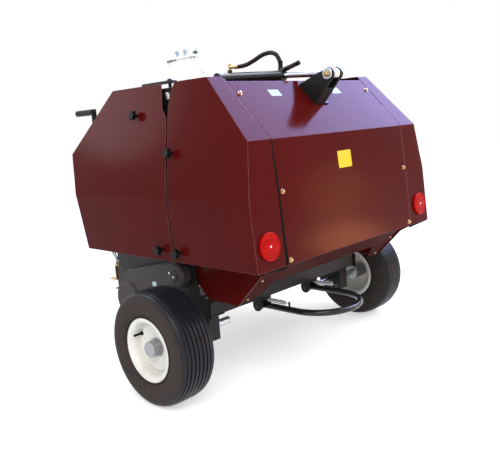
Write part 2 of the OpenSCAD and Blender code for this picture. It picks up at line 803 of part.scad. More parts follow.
module pickup_reel() {
    bar_l = 2 * pick_y - 76;
    color(zinc) from_axle() translate([reel_x, 0, reel_z]) {
        rod_y(0, -pick_y - 20, 0, reel_shaft_d, 2 * pick_y + 40);
        for (k = [-5.5, -1.5, 1.5, 5.5]) rod_y(0, k * band_pitch - 3, 0, 2 * bar_r + 40, 6);
        for (k = [0:3]) rotate([0, 45 + 90 * k, 0]) {
            rod_y(bar_r, -bar_l / 2, 0, bar_d, bar_l);
            for (i = [0:band_n - 2]) translate([0, (i - (band_n - 2) / 2) * band_pitch, 0]) tine();
        }
    }
}

// capsule over the chain drive with a stepped face and a bearing boss, and the drum at the reel's end
module chain_guard() {
    y = wall_y + wall_t + seat;
    a = [48, 418];
    b = [318, 360];
    color([0.2, 0.2, 0.2]) from_axle() {
        plate(y, guard_t - 6) slot(a, b, 50);
        plate(y, guard_t) slot(a, b, 45);
        plate(y, guard_t + 6) translate([reel_x, reel_z]) circle(69);
        plate(y, guard_t + 9) translate([reel_x, reel_z]) circle(64);
        rod_y(a[0], y, a[1], 44, guard_t + 7);
        rod_y(a[0], y, a[1], 22, guard_t + 11);
    }
}

module reel_guard() {
    color([0.2, 0.2, 0.2]) from_axle() difference() {
        plate(pick_y + 6 + seat, wall_y + wall_t - pick_y - 6 - 2 * seat) translate([reel_x, reel_z]) circle(66);
        rod_y(reel_x, pick_y, reel_z, 50, 26);
    }
}

module roller(deg, reach) {
    p = at_ring(deg);
    translate([p[0], 0, p[1]]) {
        rod_y(0, -roll_l / 2, 0, roll_d, roll_l);
        rod_y(0, -reach, 0, roll_shaft_d, 2 * reach);
        for (k = [0:5]) rotate([0, 60 * k, 0]) translate([roll_d / 2 - 2, -roll_l / 2 + 8, -3])
            cube([8, roll_l - 16, 6]);
    }
}

module front_roller_1() {
    color(zinc) from_axle() roller(front_rolls[0], wall_y + wall_t);
}

module front_roller_2() {
    color(zinc) from_axle() roller(front_rolls[1], wall_y + wall_t);
}

module front_roller_3() {
    color(zinc) from_axle() roller(front_rolls[2], wall_y + wall_t);
}

module gate_roller_1() {
    color(zinc) from_axle() roller(gate_rolls[0], gate_y - 1);
}

module gate_roller_2() {
    color(zinc) from_axle() roller(gate_rolls[1], gate_y - 1);
}

module hitch_frame() {
    s = cross_side / 2;
    y = pin_span / 2 - 8 - seat - 12;
    color(black) from_axle() difference() {
        union() {
            translate([cross_x - s, -wall_y + seat, cross_z - s]) cube([cross_side, 2 * (wall_y - seat), cross_side]);
            both() {
                plate(wall_y - seat - 10, 10)
                    polygon([[480, 570], [cross_x, cross_z + s], [cross_x, cross_z - s], [490, 490]]);
                plate(y, 12) {
                    polygon([[cross_x - 30, cross_z - s + 1], [cross_x + s, cross_z - s + 1],
                        [pin_x + 26, pin_z + 10], [pin_x + 10, pin_z - 26], [pin_x - 30, pin_z - 24]]);
                    translate([pin_x, pin_z]) circle(28);
                }
            }
        }
        both() rod_y(pin_x, pin_span / 4, pin_z, pin_neck_d + 2 * seat, pin_span / 2);
    }
}

// headstock: two legs on the cross tube and the jaw for the top link
module mast() {
    s = cross_side / 2;
    base = cross_z + s + seat;
    top = pin_z + mast_h;
    y = top_jaw / 2;
    color(black) from_axle() difference() {
        union() {
            both() {
                translate([cross_x - s, 235, base]) cube([cross_side, 70, 8]);
                intersection() {
                    strut([cross_x, 270, base - 20], [pin_x - 14, y + 22, top - 40], 32);
                    translate([cross_x - mast_h, 0, base + 4]) cube(2 * mast_h);
                }
                plate(y, 10) {
                    polygon([[pin_x - 40, top - 60], [pin_x + 10, top - 60], [pin_x + 25, top], [pin_x - 25, top]]);
                    translate([pin_x, top]) circle(26);
                }
            }
            rod_y(pin_x - 22, -y - 5, top - 46, 20, 2 * y + 10);
        }
        rod_y(pin_x, -2 * top_jaw, top, top_hole_d, 4 * top_jaw);
    }
}

module link_pins() {
    color(gold) from_axle() both() {
        rod_y(pin_x, pin_span / 2, pin_z, pin_d, pin_l);
        rod_y(pin_x, pin_span / 2 - 8 - 12 - 2 * seat - 16, pin_z, pin_neck_d, 37);
        rod_y(pin_x, pin_span / 2 - 8, pin_z, 1.6 * pin_d, 8);
        rod_y(pin_x, pin_span / 2 - 36 - 2 * seat, pin_z, 1.7 * pin_neck_d, 16, $fn = 6);
    }
}

module gearbox() {
    color(black) from_axle() difference() {
        union() {
            translate([cross_x - 35, -50, cross_z + cross_side / 2 + seat]) cube([70, 100, 60]);
            translate([cross_x - 65, -75, pto_z - 55]) cube([130, 150, 110]);
            rod_x(cross_x + 60, 0, pto_z, 60, 20);
        }
        rod_x(cross_x + 4, 0, pto_z, pto_d + 2 * run_fit, 200);
    }
}

module pto_shaft() {
    color(zinc) from_axle() difference() {
        rod_x(604, 0, pto_z, pto_d, pto_end_x - 604);
        for (k = [0:5]) rotate_about(60 * k) translate([665, pto_d / 2 - 2.5, pto_z - 4]) cube([100, 6, 8]);
    }
}

module rotate_about(a) {
    translate([0, 0, pto_z]) rotate([a, 0, 0]) translate([0, 0, -pto_z]) children();
}

module pto_guard() {
    color([0.1, 0.1, 0.1]) from_axle() translate([cross_x + 80 + seat, 0, pto_z]) rotate([0, 90, 0]) rotate_extrude()
        polygon([[26, 0], [34, 0], [56, 20], [56, 50], [53, 50], [53, 21.5], [33, 3], [26, 3]]);
}

module stand_sleeve() {
    i = leg_side + 2 * leg_fit;
    o = i + 8;
    x = cross_x + cross_side / 2 + seat;
    color(black) from_axle() difference() {
        union() {
            translate([stand_x - o / 2, stand_y - o / 2, 440]) cube([o, o, 160]);
            translate([x, stand_y - 20, cross_z - 20]) cube([stand_x - x, 40, 40]);
        }
        translate([stand_x - i / 2, stand_y - i / 2, 430]) cube([i, i, 200]);
    }
}

module stand_leg() {
    color(zinc) from_axle() {
        translate([stand_x - leg_side / 2, stand_y - leg_side / 2, 6]) cube([leg_side, leg_side, 580]);
        translate([stand_x - 60, stand_y - 60, 0]) cube([120, 120, 8]);
    }
}

// twine brake on a slotted bar: two bolts with discs and springs on a bent plate
module tensioner() {
    y = 198;
    foot = [45, deck_z + seat];
    tip = [172, deck_z + 126];
    color(zinc) from_axle() {
        plate(y, 5) difference() {
            polygon([foot - [14, 0], foot + [16, 0], tip + [12, 2], tip + [-12, 2]]);
            slot(foot + 0.33 * (tip - foot), foot + 0.46 * (tip - foot), 4);
        }
        translate([foot[0] - 22, y - 25, foot[1]]) cube([46, 30, 5]);
        translate([tip[0] - 22, y - 25, tip[1]]) cube([150, 50, 5]);
        translate([tip[0] + 123, y - 25, tip[1] - 16]) cube([5, 50, 36]);
        translate([tip[0] - 22, y - 25, tip[1]]) cube([5, 50, 40]);
        rod_x(tip[0] - 36, y - 8, tip[1] + 22, 22, 30);
        for (x = [36, 84]) translate([tip[0] + x, y, tip[1] + 4]) rotate_extrude()
            polygon([[0, 0], [18, 0], [18, 4], [10, 4], [10, 8], [8, 10], [10, 12], [8, 14], [10, 16], [8, 18],
                [10, 20], [8, 22], [12, 22], [12, 28], [4, 28], [4, 34], [0, 34]]);
    }
}

module crank() {
    f = inset([front_line[1], front_line[2]], -seat);
    u = (f[1] - f[0]) / norm(f[1] - f[0]);
    color(black) from_axle() {
        plate(410, 16) polygon([f[0] + 150 * u, f[0] + 210 * u, [540, 990], [500, 995]]);
        rod_x(500, 418, 985, 18, 56);
        plate(408, 20) polygon([[548, 975], [556, 975], [556, 1040], [548, 1040]]);
    }
}

module crank_grip() {
    color([0.04, 0.04, 0.04]) from_axle() rod_x(556 + seat, 418, 1028, 25, 118);
}

// star knob with a stem
module knob(k) {
    translate([k[0], skin_y(k[1]) + seat, k[1]]) rotate([k[1] > fold_z ? lean_deg - 90 : -90, 0, 0]) {
        cylinder(d = 12, h = 18);
        translate([0, 0, 14]) cylinder(d = 26, h = 15);
        for (i = [0:5]) rotate(60 * i) translate([12, 0, 15]) cylinder(d = 11, h = 12);
    }
}

module front_knobs() {
    color([0.05, 0.05, 0.05]) from_axle() both() {
        for (k = front_holds) knob(k);
    }
}

module gate_knobs() {
    color([0.05, 0.05, 0.05]) from_axle() both() {
        for (k = gate_holds) knob(k);
    }
}

left_wall();
right_wall();
axle_beam();
stub_axles();
left_cover();
right_cover();
front_sheet();
twine_box();
twine_lid();
hinge_bolts();
hinge_bars();
left_tyre();
left_rim();
left_hub();
right_tyre();
right_rim();
right_hub();
gate_walls();
gate_left_cover();
gate_right_cover();
gate_panel();
gate_chute();
ram_bracket();
reflectors();
ram_mount();
ram_barrel();
ram_rod();
ram_hose();
ram_fittings();
kicker();
kicker_springs();
pickup_sides();
pickup_bands();
pickup_reel();
chain_guard();
reel_guard();
front_roller_1();
front_roller_2();
front_roller_3();
gate_roller_1();
gate_roller_2();
hitch_frame();
mast();
link_pins();
gearbox();
pto_shaft();
pto_guard();
stand_sleeve();
stand_leg();
tensioner();
crank();
crank_grip();
front_knobs();
gate_knobs();
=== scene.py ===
"""Looks of the mini round baler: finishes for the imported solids, and the pieces that the solids leave out."""

import json
import math

import bmesh
import bpy
from bpy.props import FloatProperty, FloatVectorProperty, IntProperty, PointerProperty
from mathutils import Matrix, Vector


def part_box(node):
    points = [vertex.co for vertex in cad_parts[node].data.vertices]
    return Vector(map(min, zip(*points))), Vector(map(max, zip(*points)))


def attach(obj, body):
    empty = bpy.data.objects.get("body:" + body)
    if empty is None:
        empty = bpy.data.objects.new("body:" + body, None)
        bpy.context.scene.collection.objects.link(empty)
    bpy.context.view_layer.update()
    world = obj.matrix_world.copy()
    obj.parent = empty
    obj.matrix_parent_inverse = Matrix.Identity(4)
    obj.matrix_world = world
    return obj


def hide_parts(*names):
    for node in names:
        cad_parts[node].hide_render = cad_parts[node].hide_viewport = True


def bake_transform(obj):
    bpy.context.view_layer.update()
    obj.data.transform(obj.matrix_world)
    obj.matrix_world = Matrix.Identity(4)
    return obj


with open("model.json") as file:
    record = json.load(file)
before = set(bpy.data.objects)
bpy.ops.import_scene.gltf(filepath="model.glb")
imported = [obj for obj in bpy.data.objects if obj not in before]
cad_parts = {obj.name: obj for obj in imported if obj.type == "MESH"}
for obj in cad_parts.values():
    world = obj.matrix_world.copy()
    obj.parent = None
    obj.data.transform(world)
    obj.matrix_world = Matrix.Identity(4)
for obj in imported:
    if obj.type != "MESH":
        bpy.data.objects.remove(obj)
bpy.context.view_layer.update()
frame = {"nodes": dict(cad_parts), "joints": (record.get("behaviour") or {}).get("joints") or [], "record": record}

bl_info = {
    "name": "Mini round baler looks",
    "version": (1, 0, 0),
    "blender": (4, 5, 0),
    "location": "3D View > Sidebar > Baler",
    "description": "Finishes and small pieces of a three-point mounted mini round baler",
    "category": "Object",
}

MM = 0.001
JOINTS = {joint["name"]: joint for joint in frame["joints"]}
AXLE = Vector(JOINTS["left_wheel_spin"]["pos_m"])
TRACK_HALF = AXLE.y / MM
AXLE_HEIGHT = AXLE.z / MM
TYRE_RADIUS = (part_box("left_tyre")[1].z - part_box("left_tyre")[0].z) / 2
# the pieces are measured from the wheel axle's foot, and this leads from the frame's origin to it
AXLE_FOOT = Vector((AXLE.x, 0.0, 0.0))

# rear outline of the tailgate as (x, z) in millimetres from the wheel axle, from the lower edge to the top
REAR_LINE = [(-414.0, 484.0), (-397.0, 704.0), (-379.0, 886.0), (-183.0, 1095.0)]
PANEL_HALF = 385.0
PANEL_GAP = 6.0

# the ram: base pin and rod pin as (x, y, z) in millimetres from the wheel axle
RAM_BASE = Vector((215.0, 8.0, 1130.0))
RAM_PIN = Vector((-351.0, 8.0, 1089.0))


def colour(name, description, rgb):
    """Colour property with its default."""
    return FloatVectorProperty(name=name, description=description, subtype="COLOR", size=3, min=0, max=1,
                               default=rgb)


def length(name, description, metres):
    """Length property with its default."""
    return FloatProperty(name=name, description=description, unit="LENGTH", subtype="DISTANCE",
                         default=metres)


def level(name, description, value):
    """Plain level with its default."""
    return FloatProperty(name=name, description=description, default=value, min=0)


def power(name, description, watts):
    """Lamp power with its default."""
    return FloatProperty(name=name, description=description, default=watts, min=0, unit="POWER")


class BalerColours(bpy.types.PropertyGroup):
    """Colours of the finishes."""

    body: colour("Body paint", "Gloss paint on the folded sheets", (0.088, 0.0048, 0.0045))
    # the sheet edges take this colour as a painted highlight, with some edge wear
    body_edge_highlight: colour("Paint on edges", "Thin paint along the sheet edges", (0.42, 0.23, 0.22))
    black: colour("Frame paint", "Satin paint on walls, beams and brackets", (0.012, 0.0115, 0.012))
    guard: colour("Guard paint", "Paint on the drive guards", (0.056, 0.048, 0.048))
    cream: colour("Wheel paint", "Paint on the wheel dishes", (0.93, 0.915, 0.85))
    zinc: colour("Zinc", "Bright zinc plate", (0.66, 0.69, 0.71))
    steel: colour("Bare steel", "Worn rollers and shafts", (0.36, 0.35, 0.34))
    chrome: colour("Chrome", "Hard chrome of the ram's rod", (0.46, 0.47, 0.49))
    gold: colour("Yellow zinc", "Plate on bolts, pins and fittings", (0.55, 0.42, 0.22))
    # the blue tint in the tyre's black is a painted reflection of the sky
    rubber: colour("Tyre", "Rubber of the tread", (0.0095, 0.0098, 0.0145))
    soil: colour("Soil", "Dust that settles low down and on the tyre walls", (0.072, 0.051, 0.040))
    lens: colour("Lens", "Moulded red of the rear lenses", (0.60, 0.004, 0.004))
    plate_yellow: colour("Yellow plate", "Blank plate on the rear panel", (0.90, 0.58, 0.015))
    plate_pale: colour("Pale plates", "Blank plates on the slope and the guard", (0.52, 0.68, 0.74))


class BalerSizes(bpy.types.PropertyGroup):
    """Sizes of the pieces that are added to the solids."""

    bolt_width: length("Bolt width", "Width across flats of the panel bolts", 0.0100)
    hose_pitch: length("Hose wrap pitch", "Distance between the turns of the hose wrap", 0.0075)
    hose_width: length("Hose diameter", "Diameter over the hose wrap", 0.0170)
    spring_wire: length("Spring wire", "Wire diameter of the hoop springs", 0.0026)
    spring_turns: IntProperty(name="Spring turns", description="Turns of a hoop spring", default=30,
                              min=6, max=60)
    chain_wire: length("Chain wire", "Wire diameter of the lift chains", 0.0044)
    plate_thickness: length("Plate thickness", "Thickness of the blank plates", 0.0006)
    weld_width: length("Weld width", "Width of the weld beads", 0.0070)


class BalerStage(bpy.types.PropertyGroup):
    """Floor and light."""

    floor_radius: length("Floor radius", "Radius of the pale floor", 14.0)
    floor: colour("Floor", "Colour of the floor", (0.86, 0.86, 0.87))
    floor_lift: level("Floor lift", "Light that the floor adds where it is seen directly", 0.50)
    daylight: level("Daylight", "Level of the soft light all round", 0.82)
    key: power("Key lamp", "Power of the large lamp behind the camera", 75)
    side: power("Side lamp", "Power of the lamp beyond the machine", 55)
    sheen: power("Sky panel", "Power of the panel that the gloss paint mirrors on the slope", 660)
    sheen_tint: colour("Sky panel tint", "Colour of the mirrored panel", (0.40, 0.45, 1.0))
    glow: power("Warm card", "Power of the upper warm card that the rear panel mirrors", 3.4)
    glow_low: power("Low warm card", "Power of the lower warm card that the rear panel mirrors", 6)
    glow_tint: colour("Warm card tint", "Colour of both warm cards", (1.0, 0.42, 0.15))
    ram_shine: power("Ram card", "Power of the card that the ram's barrel mirrors", 60)
    cloud: power("Cloud card", "Power of the card that the front side cover mirrors", 16)


def colours():
    return bpy.context.scene.baler_colours


def sizes():
    return bpy.context.scene.baler_sizes


def stage():
    return bpy.context.scene.baler_stage


# shader nodes

def put(tree, kind, inputs=None, **settings):
    """Adds a node, sets its properties and fills its inputs with values or with links from sockets."""
    node = tree.nodes.new(kind)
    for key, value in settings.items():
        setattr(node, key, value)
    for key, value in (inputs or {}).items():
        if isinstance(value, bpy.types.NodeSocket):
            tree.links.new(value, node.inputs[key])
        else:
            node.inputs[key].default_value = value
    return node


def calc(tree, operation, a, b, clamp=False):
    """Output of a math node."""
    return put(tree, "ShaderNodeMath", {0: a, 1: b}, operation=operation, use_clamp=clamp).outputs[0]


def mixed(tree, share, a, b):
    """Colour between a and b."""
    return put(tree, "ShaderNodeMix", {0: share, 6: opaque(a), 7: opaque(b)}, data_type="RGBA").outputs[2]


def opaque(value):
    """Three numbers as a colour with full alpha; sockets pass through."""
    return value if isinstance(value, bpy.types.NodeSocket) else (*value, 1.0)


def ramp(tree, value, low, high, out_low=0.0, out_high=1.0):
    """Value from low to high, spread between two outputs and clamped."""
    inputs = {"Value": value, "From Min": low, "From Max": high, "To Min": out_low, "To Max": out_high}
    return put(tree, "ShaderNodeMapRange", inputs, clamp=True).outputs[0]


def own_place(tree):
    """Coordinates of the object itself."""
    return put(tree, "ShaderNodeTexCoord").outputs["Object"]


def noise(tree, place, scale, detail=3.0, rough=0.55):
    """Output of a noise texture."""
    inputs = {"Vector": place, "Scale": scale, "Detail": detail, "Roughness": rough}
    return put(tree, "ShaderNodeTexNoise", inputs).outputs[0]


def new_group(name, inputs, outputs):
    """Empty shader group with float inputs and the outputs named."""
    tree = bpy.data.node_groups.new(name, "ShaderNodeTree")
    for label, value in inputs:
        tree.interface.new_socket(label, in_out="INPUT", socket_type="NodeSocketFloat").default_value = value
    for label, kind in outputs:
        tree.interface.new_socket(label, in_out="OUTPUT", socket_type=kind)
    return tree, tree.nodes.new("NodeGroupInput").outputs, tree.nodes.new("NodeGroupOutput").inputs


def make_paint_skin():
    """Orange peel and slow tone changes of a sprayed coat."""
    tree, given, result = new_group(
        "paint_skin", [("Peel Scale", 380.0), ("Tone Scale", 2.6)],
        [("Height", "NodeSocketFloat"), ("Tone", "NodeSocketFloat")])
    place = own_place(tree)
    tree.links.new(noise(tree, place, given["Peel Scale"], 1.0), result["Height"])
    slow = noise(tree, place, given["Tone Scale"], 2.0)
    tree.links.new(ramp(tree, slow, 0.3, 0.7), result["Tone"])


def make_edge_wear_and_highlight():
    """Rounded normal at edges, and a mask along them for edge wear and a painted highlight."""
    tree, given, result = new_group(
        "edge_wear_and_highlight", [("Radius", 0.002), ("Amount", 0.6), ("Break Up", 60.0)],
        [("Mask", "NodeSocketFloat"), ("Normal", "NodeSocketVector")])
    place = own_place(tree)
    rounded = put(tree, "ShaderNodeBevel", {"Radius": given["Radius"]}, samples=4).outputs[0]
    plain = put(tree, "ShaderNodeNewGeometry").outputs["Normal"]
    along = put(tree, "ShaderNodeVectorMath", {0: rounded, 1: plain}, operation="DOT_PRODUCT")
    bend = ramp(tree, calc(tree, "SUBTRACT", 1.0, along.outputs["Value"]), 0.02, 0.22)
    broken = ramp(tree, noise(tree, place, given["Break Up"]), 0.30, 0.62, 0.35, 1.0)
    edge_wear_highlight = calc(tree, "MULTIPLY", bend, broken)
    tree.links.new(calc(tree, "MULTIPLY", edge_wear_highlight, given["Amount"], True), result["Mask"])
    tree.links.new(rounded, result["Normal"])


def make_settled_dust():
    """Dust that thickens towards the ground and on faces that look up."""
    tree, given, result = new_group(
        "settled_dust", [("Amount", 0.3), ("Low", 0.1), ("High", 0.7), ("Scale", 14.0)],
        [("Mask", "NodeSocketFloat")])
    where = put(tree, "ShaderNodeTexCoord")
    height = put(tree, "ShaderNodeSeparateXYZ", {0: where.outputs["Object"]}).outputs["Z"]
    upward = put(tree, "ShaderNodeSeparateXYZ", {0: where.outputs["Normal"]}).outputs["Z"]
    low = ramp(tree, height, given["High"], given["Low"])
    up = ramp(tree, upward, 0.2, 1.0, 0.0, 0.35)
    cloud = ramp(tree, noise(tree, where.outputs["Object"], given["Scale"], 5.0, 0.65), 0.34, 0.72)
    both = calc(tree, "MULTIPLY", calc(tree, "ADD", low, up), cloud)
    tree.links.new(calc(tree, "MULTIPLY", both, given["Amount"], True), result["Mask"])


def make_drawn_metal():
    """Fine lines along one axis and cloudy tone of plated or turned metal."""
    tree, given, result = new_group(
        "drawn_metal", [("Scale", 90.0), ("Stretch X", 1.0), ("Stretch Y", 0.08), ("Stretch Z", 1.0)],
        [("Tone", "NodeSocketFloat"), ("Lines", "NodeSocketFloat")])
    place = own_place(tree)
    stretch = put(tree, "ShaderNodeCombineXYZ",
                  {0: given["Stretch X"], 1: given["Stretch Y"], 2: given["Stretch Z"]}).outputs[0]
    drawn = put(tree, "ShaderNodeVectorMath", {0: place, 1: stretch}, operation="MULTIPLY").outputs[0]
    tree.links.new(noise(tree, drawn, calc(tree, "MULTIPLY", given["Scale"], 6.0), 2.0), result["Lines"])
    tree.links.new(ramp(tree, noise(tree, place, given["Scale"], 3.0), 0.3, 0.7), result["Tone"])


def from_group(tree, name, **inputs):
    """Places a shader group with its own values and returns its outputs."""
    node = put(tree, "ShaderNodeGroup", node_tree=bpy.data.node_groups[name])
    for key, value in inputs.items():
        node.inputs[key.replace("_", " ")].default_value = value
    return node.outputs


def new_finish(name, **sockets):
    """Material with one shader, whose plain values are set on its own sockets."""
    material = bpy.data.materials.new(name)
    material.use_nodes = True
    tree = material.node_tree
    tree.nodes.clear()
    shader = put(tree, "ShaderNodeBsdfPrincipled")
    put(tree, "ShaderNodeOutputMaterial", {"Surface": shader.outputs[0]})
    for key, value in sockets.items():
        shader.inputs[key.replace("_", " ")].default_value = value
    return tree, shader.inputs


def bump(tree, shader, height, strength, depth, normal=None):
    """Feeds the shader's normal from a height."""
    inputs = {"Height": height, "Strength": strength, "Distance": depth}
    if normal is not None:
        inputs["Normal"] = normal
    tree.links.new(put(tree, "ShaderNodeBump", inputs).outputs[0], shader["Normal"])


def painted(name, paint, edge, rough, dust, peel=(380.0, 0.05), edge_share=0.6, edge_width=0.002, **sockets):
    """Sprayed coat: tone changes, edges lightened as a painted highlight with some edge wear, orange peel and
    settled dust.
    """
    tree, shader = new_finish(name, **sockets)
    skin = from_group(tree, "paint_skin", Peel_Scale=peel[0])
    edge_wear_highlight = from_group(tree, "edge_wear_and_highlight", Radius=edge_width, Amount=edge_share)
    settled = from_group(tree, "settled_dust", Amount=dust[0], Low=dust[1], High=dust[2])["Mask"]
    deep = [channel * 0.86 for channel in paint]
    coat = mixed(tree, skin["Tone"], paint, deep)
    # edge colour along the edges: painted highlight where it is paler than the paint, with some edge wear
    coat = mixed(tree, edge_wear_highlight["Mask"], coat, edge)
    tree.links.new(mixed(tree, settled, coat, colours().soil), shader["Base Color"])
    shine = ramp(tree, skin["Tone"], 0.0, 1.0, rough, rough + 0.05)
    tree.links.new(calc(tree, "ADD", shine, calc(tree, "MULTIPLY", settled, 0.45), True), shader["Roughness"])
    bump(tree, shader, skin["Height"], peel[1], 0.0006, edge_wear_highlight["Normal"])


def plated(name, metal, stain, rough, stain_share=0.4, scale=70.0, stretch=(1.0, 1.0, 1.0),
           dust=(0.1, 0.0, 0.5)):
    """Plated, turned or weathered metal with lines, cloudy tone, some dust and a painted highlight along the
    edges.
    """
    tree, shader = new_finish(name)
    lines = from_group(tree, "drawn_metal", Scale=scale, Stretch_X=stretch[0], Stretch_Y=stretch[1],
                       Stretch_Z=stretch[2])
    edge_wear_highlight = from_group(tree, "edge_wear_and_highlight", Amount=0.5, Radius=0.001)
    settled = from_group(tree, "settled_dust", Amount=dust[0], Low=dust[1], High=dust[2])["Mask"]
    body = mixed(tree, calc(tree, "MULTIPLY", lines["Tone"], stain_share), metal, stain)
    # lighter metal along the edges: painted highlight
    body = mixed(tree, calc(tree, "MULTIPLY", edge_wear_highlight["Mask"], 0.5), body, [min(1.0, c * 1.2) for c in metal])
    tree.links.new(mixed(tree, settled, body, colours().soil), shader["Base Color"])
    tree.links.new(calc(tree, "SUBTRACT", 1.0, settled, True), shader["Metallic"])
    shine = ramp(tree, lines["Lines"], 0.25, 0.75, rough * 0.75, rough * 1.3)
    tree.links.new(calc(tree, "ADD", shine, calc(tree, "MULTIPLY", settled, 0.4), True), shader["Roughness"])
    bump(tree, shader, lines["Lines"], 0.06, 0.0003, edge_wear_highlight["Normal"])


def make_tyre_finish():
    """Rubber with soil on the walls and a painted highlight along the rib edges; the piece's origin is the wheel's
    centre.
    """
    tint = colours()
    tree, shader = new_finish("dusty_tyre", Specular_IOR_Level=0.22)
    place = own_place(tree)
    parts = put(tree, "ShaderNodeSeparateXYZ", {0: place}).outputs
    flat = put(tree, "ShaderNodeCombineXYZ", {0: parts["X"], 2: parts["Z"]}).outputs[0]
    radius = put(tree, "ShaderNodeVectorMath", {0: flat}, operation="LENGTH").outputs["Value"]
    wall = ramp(tree, radius, TYRE_RADIUS * 0.97, TYRE_RADIUS * 0.86)
    cloud = ramp(tree, noise(tree, place, 26.0, 5.0, 0.65), 0.30, 0.72, 0.25, 1.0)
    soil = calc(tree, "MULTIPLY", calc(tree, "MULTIPLY", wall, cloud), 0.85, True)
    streak = calc(tree, "MULTIPLY", ramp(tree, noise(tree, place, 9.0, 3.0), 0.52, 0.8), 0.10)
    edge_wear_highlight = from_group(tree, "edge_wear_and_highlight", Radius=0.0012, Amount=0.55)
    body = mixed(tree, calc(tree, "MAXIMUM", soil, streak), tint.rubber, tint.soil)
    # paler rubber along the edges of ribs and rings: painted highlight
    tree.links.new(mixed(tree, edge_wear_highlight["Mask"], body, (0.055, 0.052, 0.056)), shader["Base Color"])
    tree.links.new(ramp(tree, soil, 0.0, 0.6, 0.36, 0.85), shader["Roughness"])
    bump(tree, shader, noise(tree, place, 620.0, 2.0), 0.18, 0.0004, edge_wear_highlight["Normal"])


def make_lens_finish():
    """Moulded red lens with small prisms behind its face."""
    tree, shader = new_finish("red_lens", Roughness=0.16, Specular_IOR_Level=0.05)
    place = own_place(tree)
    cells = put(tree, "ShaderNodeTexVoronoi", {"Vector": place, "Scale": 300.0, "Randomness": 0.15},
                distance="MANHATTAN")
    facet = ramp(tree, cells.outputs["Distance"], 0.1, 0.8)
    lens = colours().lens
    tree.links.new(mixed(tree, facet, [min(1.0, c * 1.25) for c in lens], [c * 0.62 for c in lens]),
                   shader["Base Color"])
    bump(tree, shader, cells.outputs["Distance"], 0.35, 0.0012)


def make_rubber_finish(name, body, rough, grain, dust=0.2):
    """Plain rubber or moulded plastic with a fine grain and edges lightened as a painted highlight."""
    tree, shader = new_finish(name, Specular_IOR_Level=0.16 if dust else 0.03)
    place = own_place(tree)
    edge_wear_highlight = from_group(tree, "edge_wear_and_highlight", Radius=0.001, Amount=0.5)
    settled = from_group(tree, "settled_dust", Amount=dust, Low=0.1, High=1.2)["Mask"]
    # paler edges: painted highlight
    coat = mixed(tree, edge_wear_highlight["Mask"], body, [c * 3.2 for c in body])
    tree.links.new(mixed(tree, settled, coat, colours().soil), shader["Base Color"])
    shine = ramp(tree, noise(tree, place, 40.0), 0.3, 0.7, rough - 0.06, rough + 0.08)
    tree.links.new(shine, shader["Roughness"])
    bump(tree, shader, noise(tree, place, grain, 2.0), 0.12, 0.0004, edge_wear_highlight["Normal"])


def make_plate_finish(name, print_colour):
    """Blank printed foil: slightly mottled, with a soft sheen."""
    tree, shader = new_finish(name, Specular_IOR_Level=0.08)
    skin = from_group(tree, "paint_skin", Peel_Scale=900.0, Tone_Scale=30.0)
    faded = [0.9 * c + 0.06 for c in print_colour]
    tree.links.new(mixed(tree, skin["Tone"], print_colour, faded), shader["Base Color"])
    tree.links.new(ramp(tree, skin["Tone"], 0.0, 1.0, 0.32, 0.42), shader["Roughness"])
    bump(tree, shader, skin["Height"], 0.04, 0.0003)


# which finish each material slot of the record takes
SLOT_FINISH = {
    "maroon_paint": "gloss_maroon",
    "black_paint": "satin_black",
    "grey_guard": "guard_grey",
    "zinc_plate": "bright_zinc",
    "steel": "worn_steel",
    "rod_chrome": "hard_chrome",
    "gearbox_iron": "painted_iron",
    "gold_zinc": "yellow_zinc",
    "tyre_rubber": "dusty_tyre",
    "hose_rubber": "hose_cover",
    "rim_paint": "cream_paint",
    "reflector_red": "red_lens",
    "black_plastic": "moulded_black",
}
# solids that look different from the rest of their slot
NODE_FINISH = {"pickup_sides": "guard_grey", "ram_barrel": "gloss_black", "kicker": "gloss_black",
               "left_hub": "dull_zinc", "right_hub": "dull_zinc"}


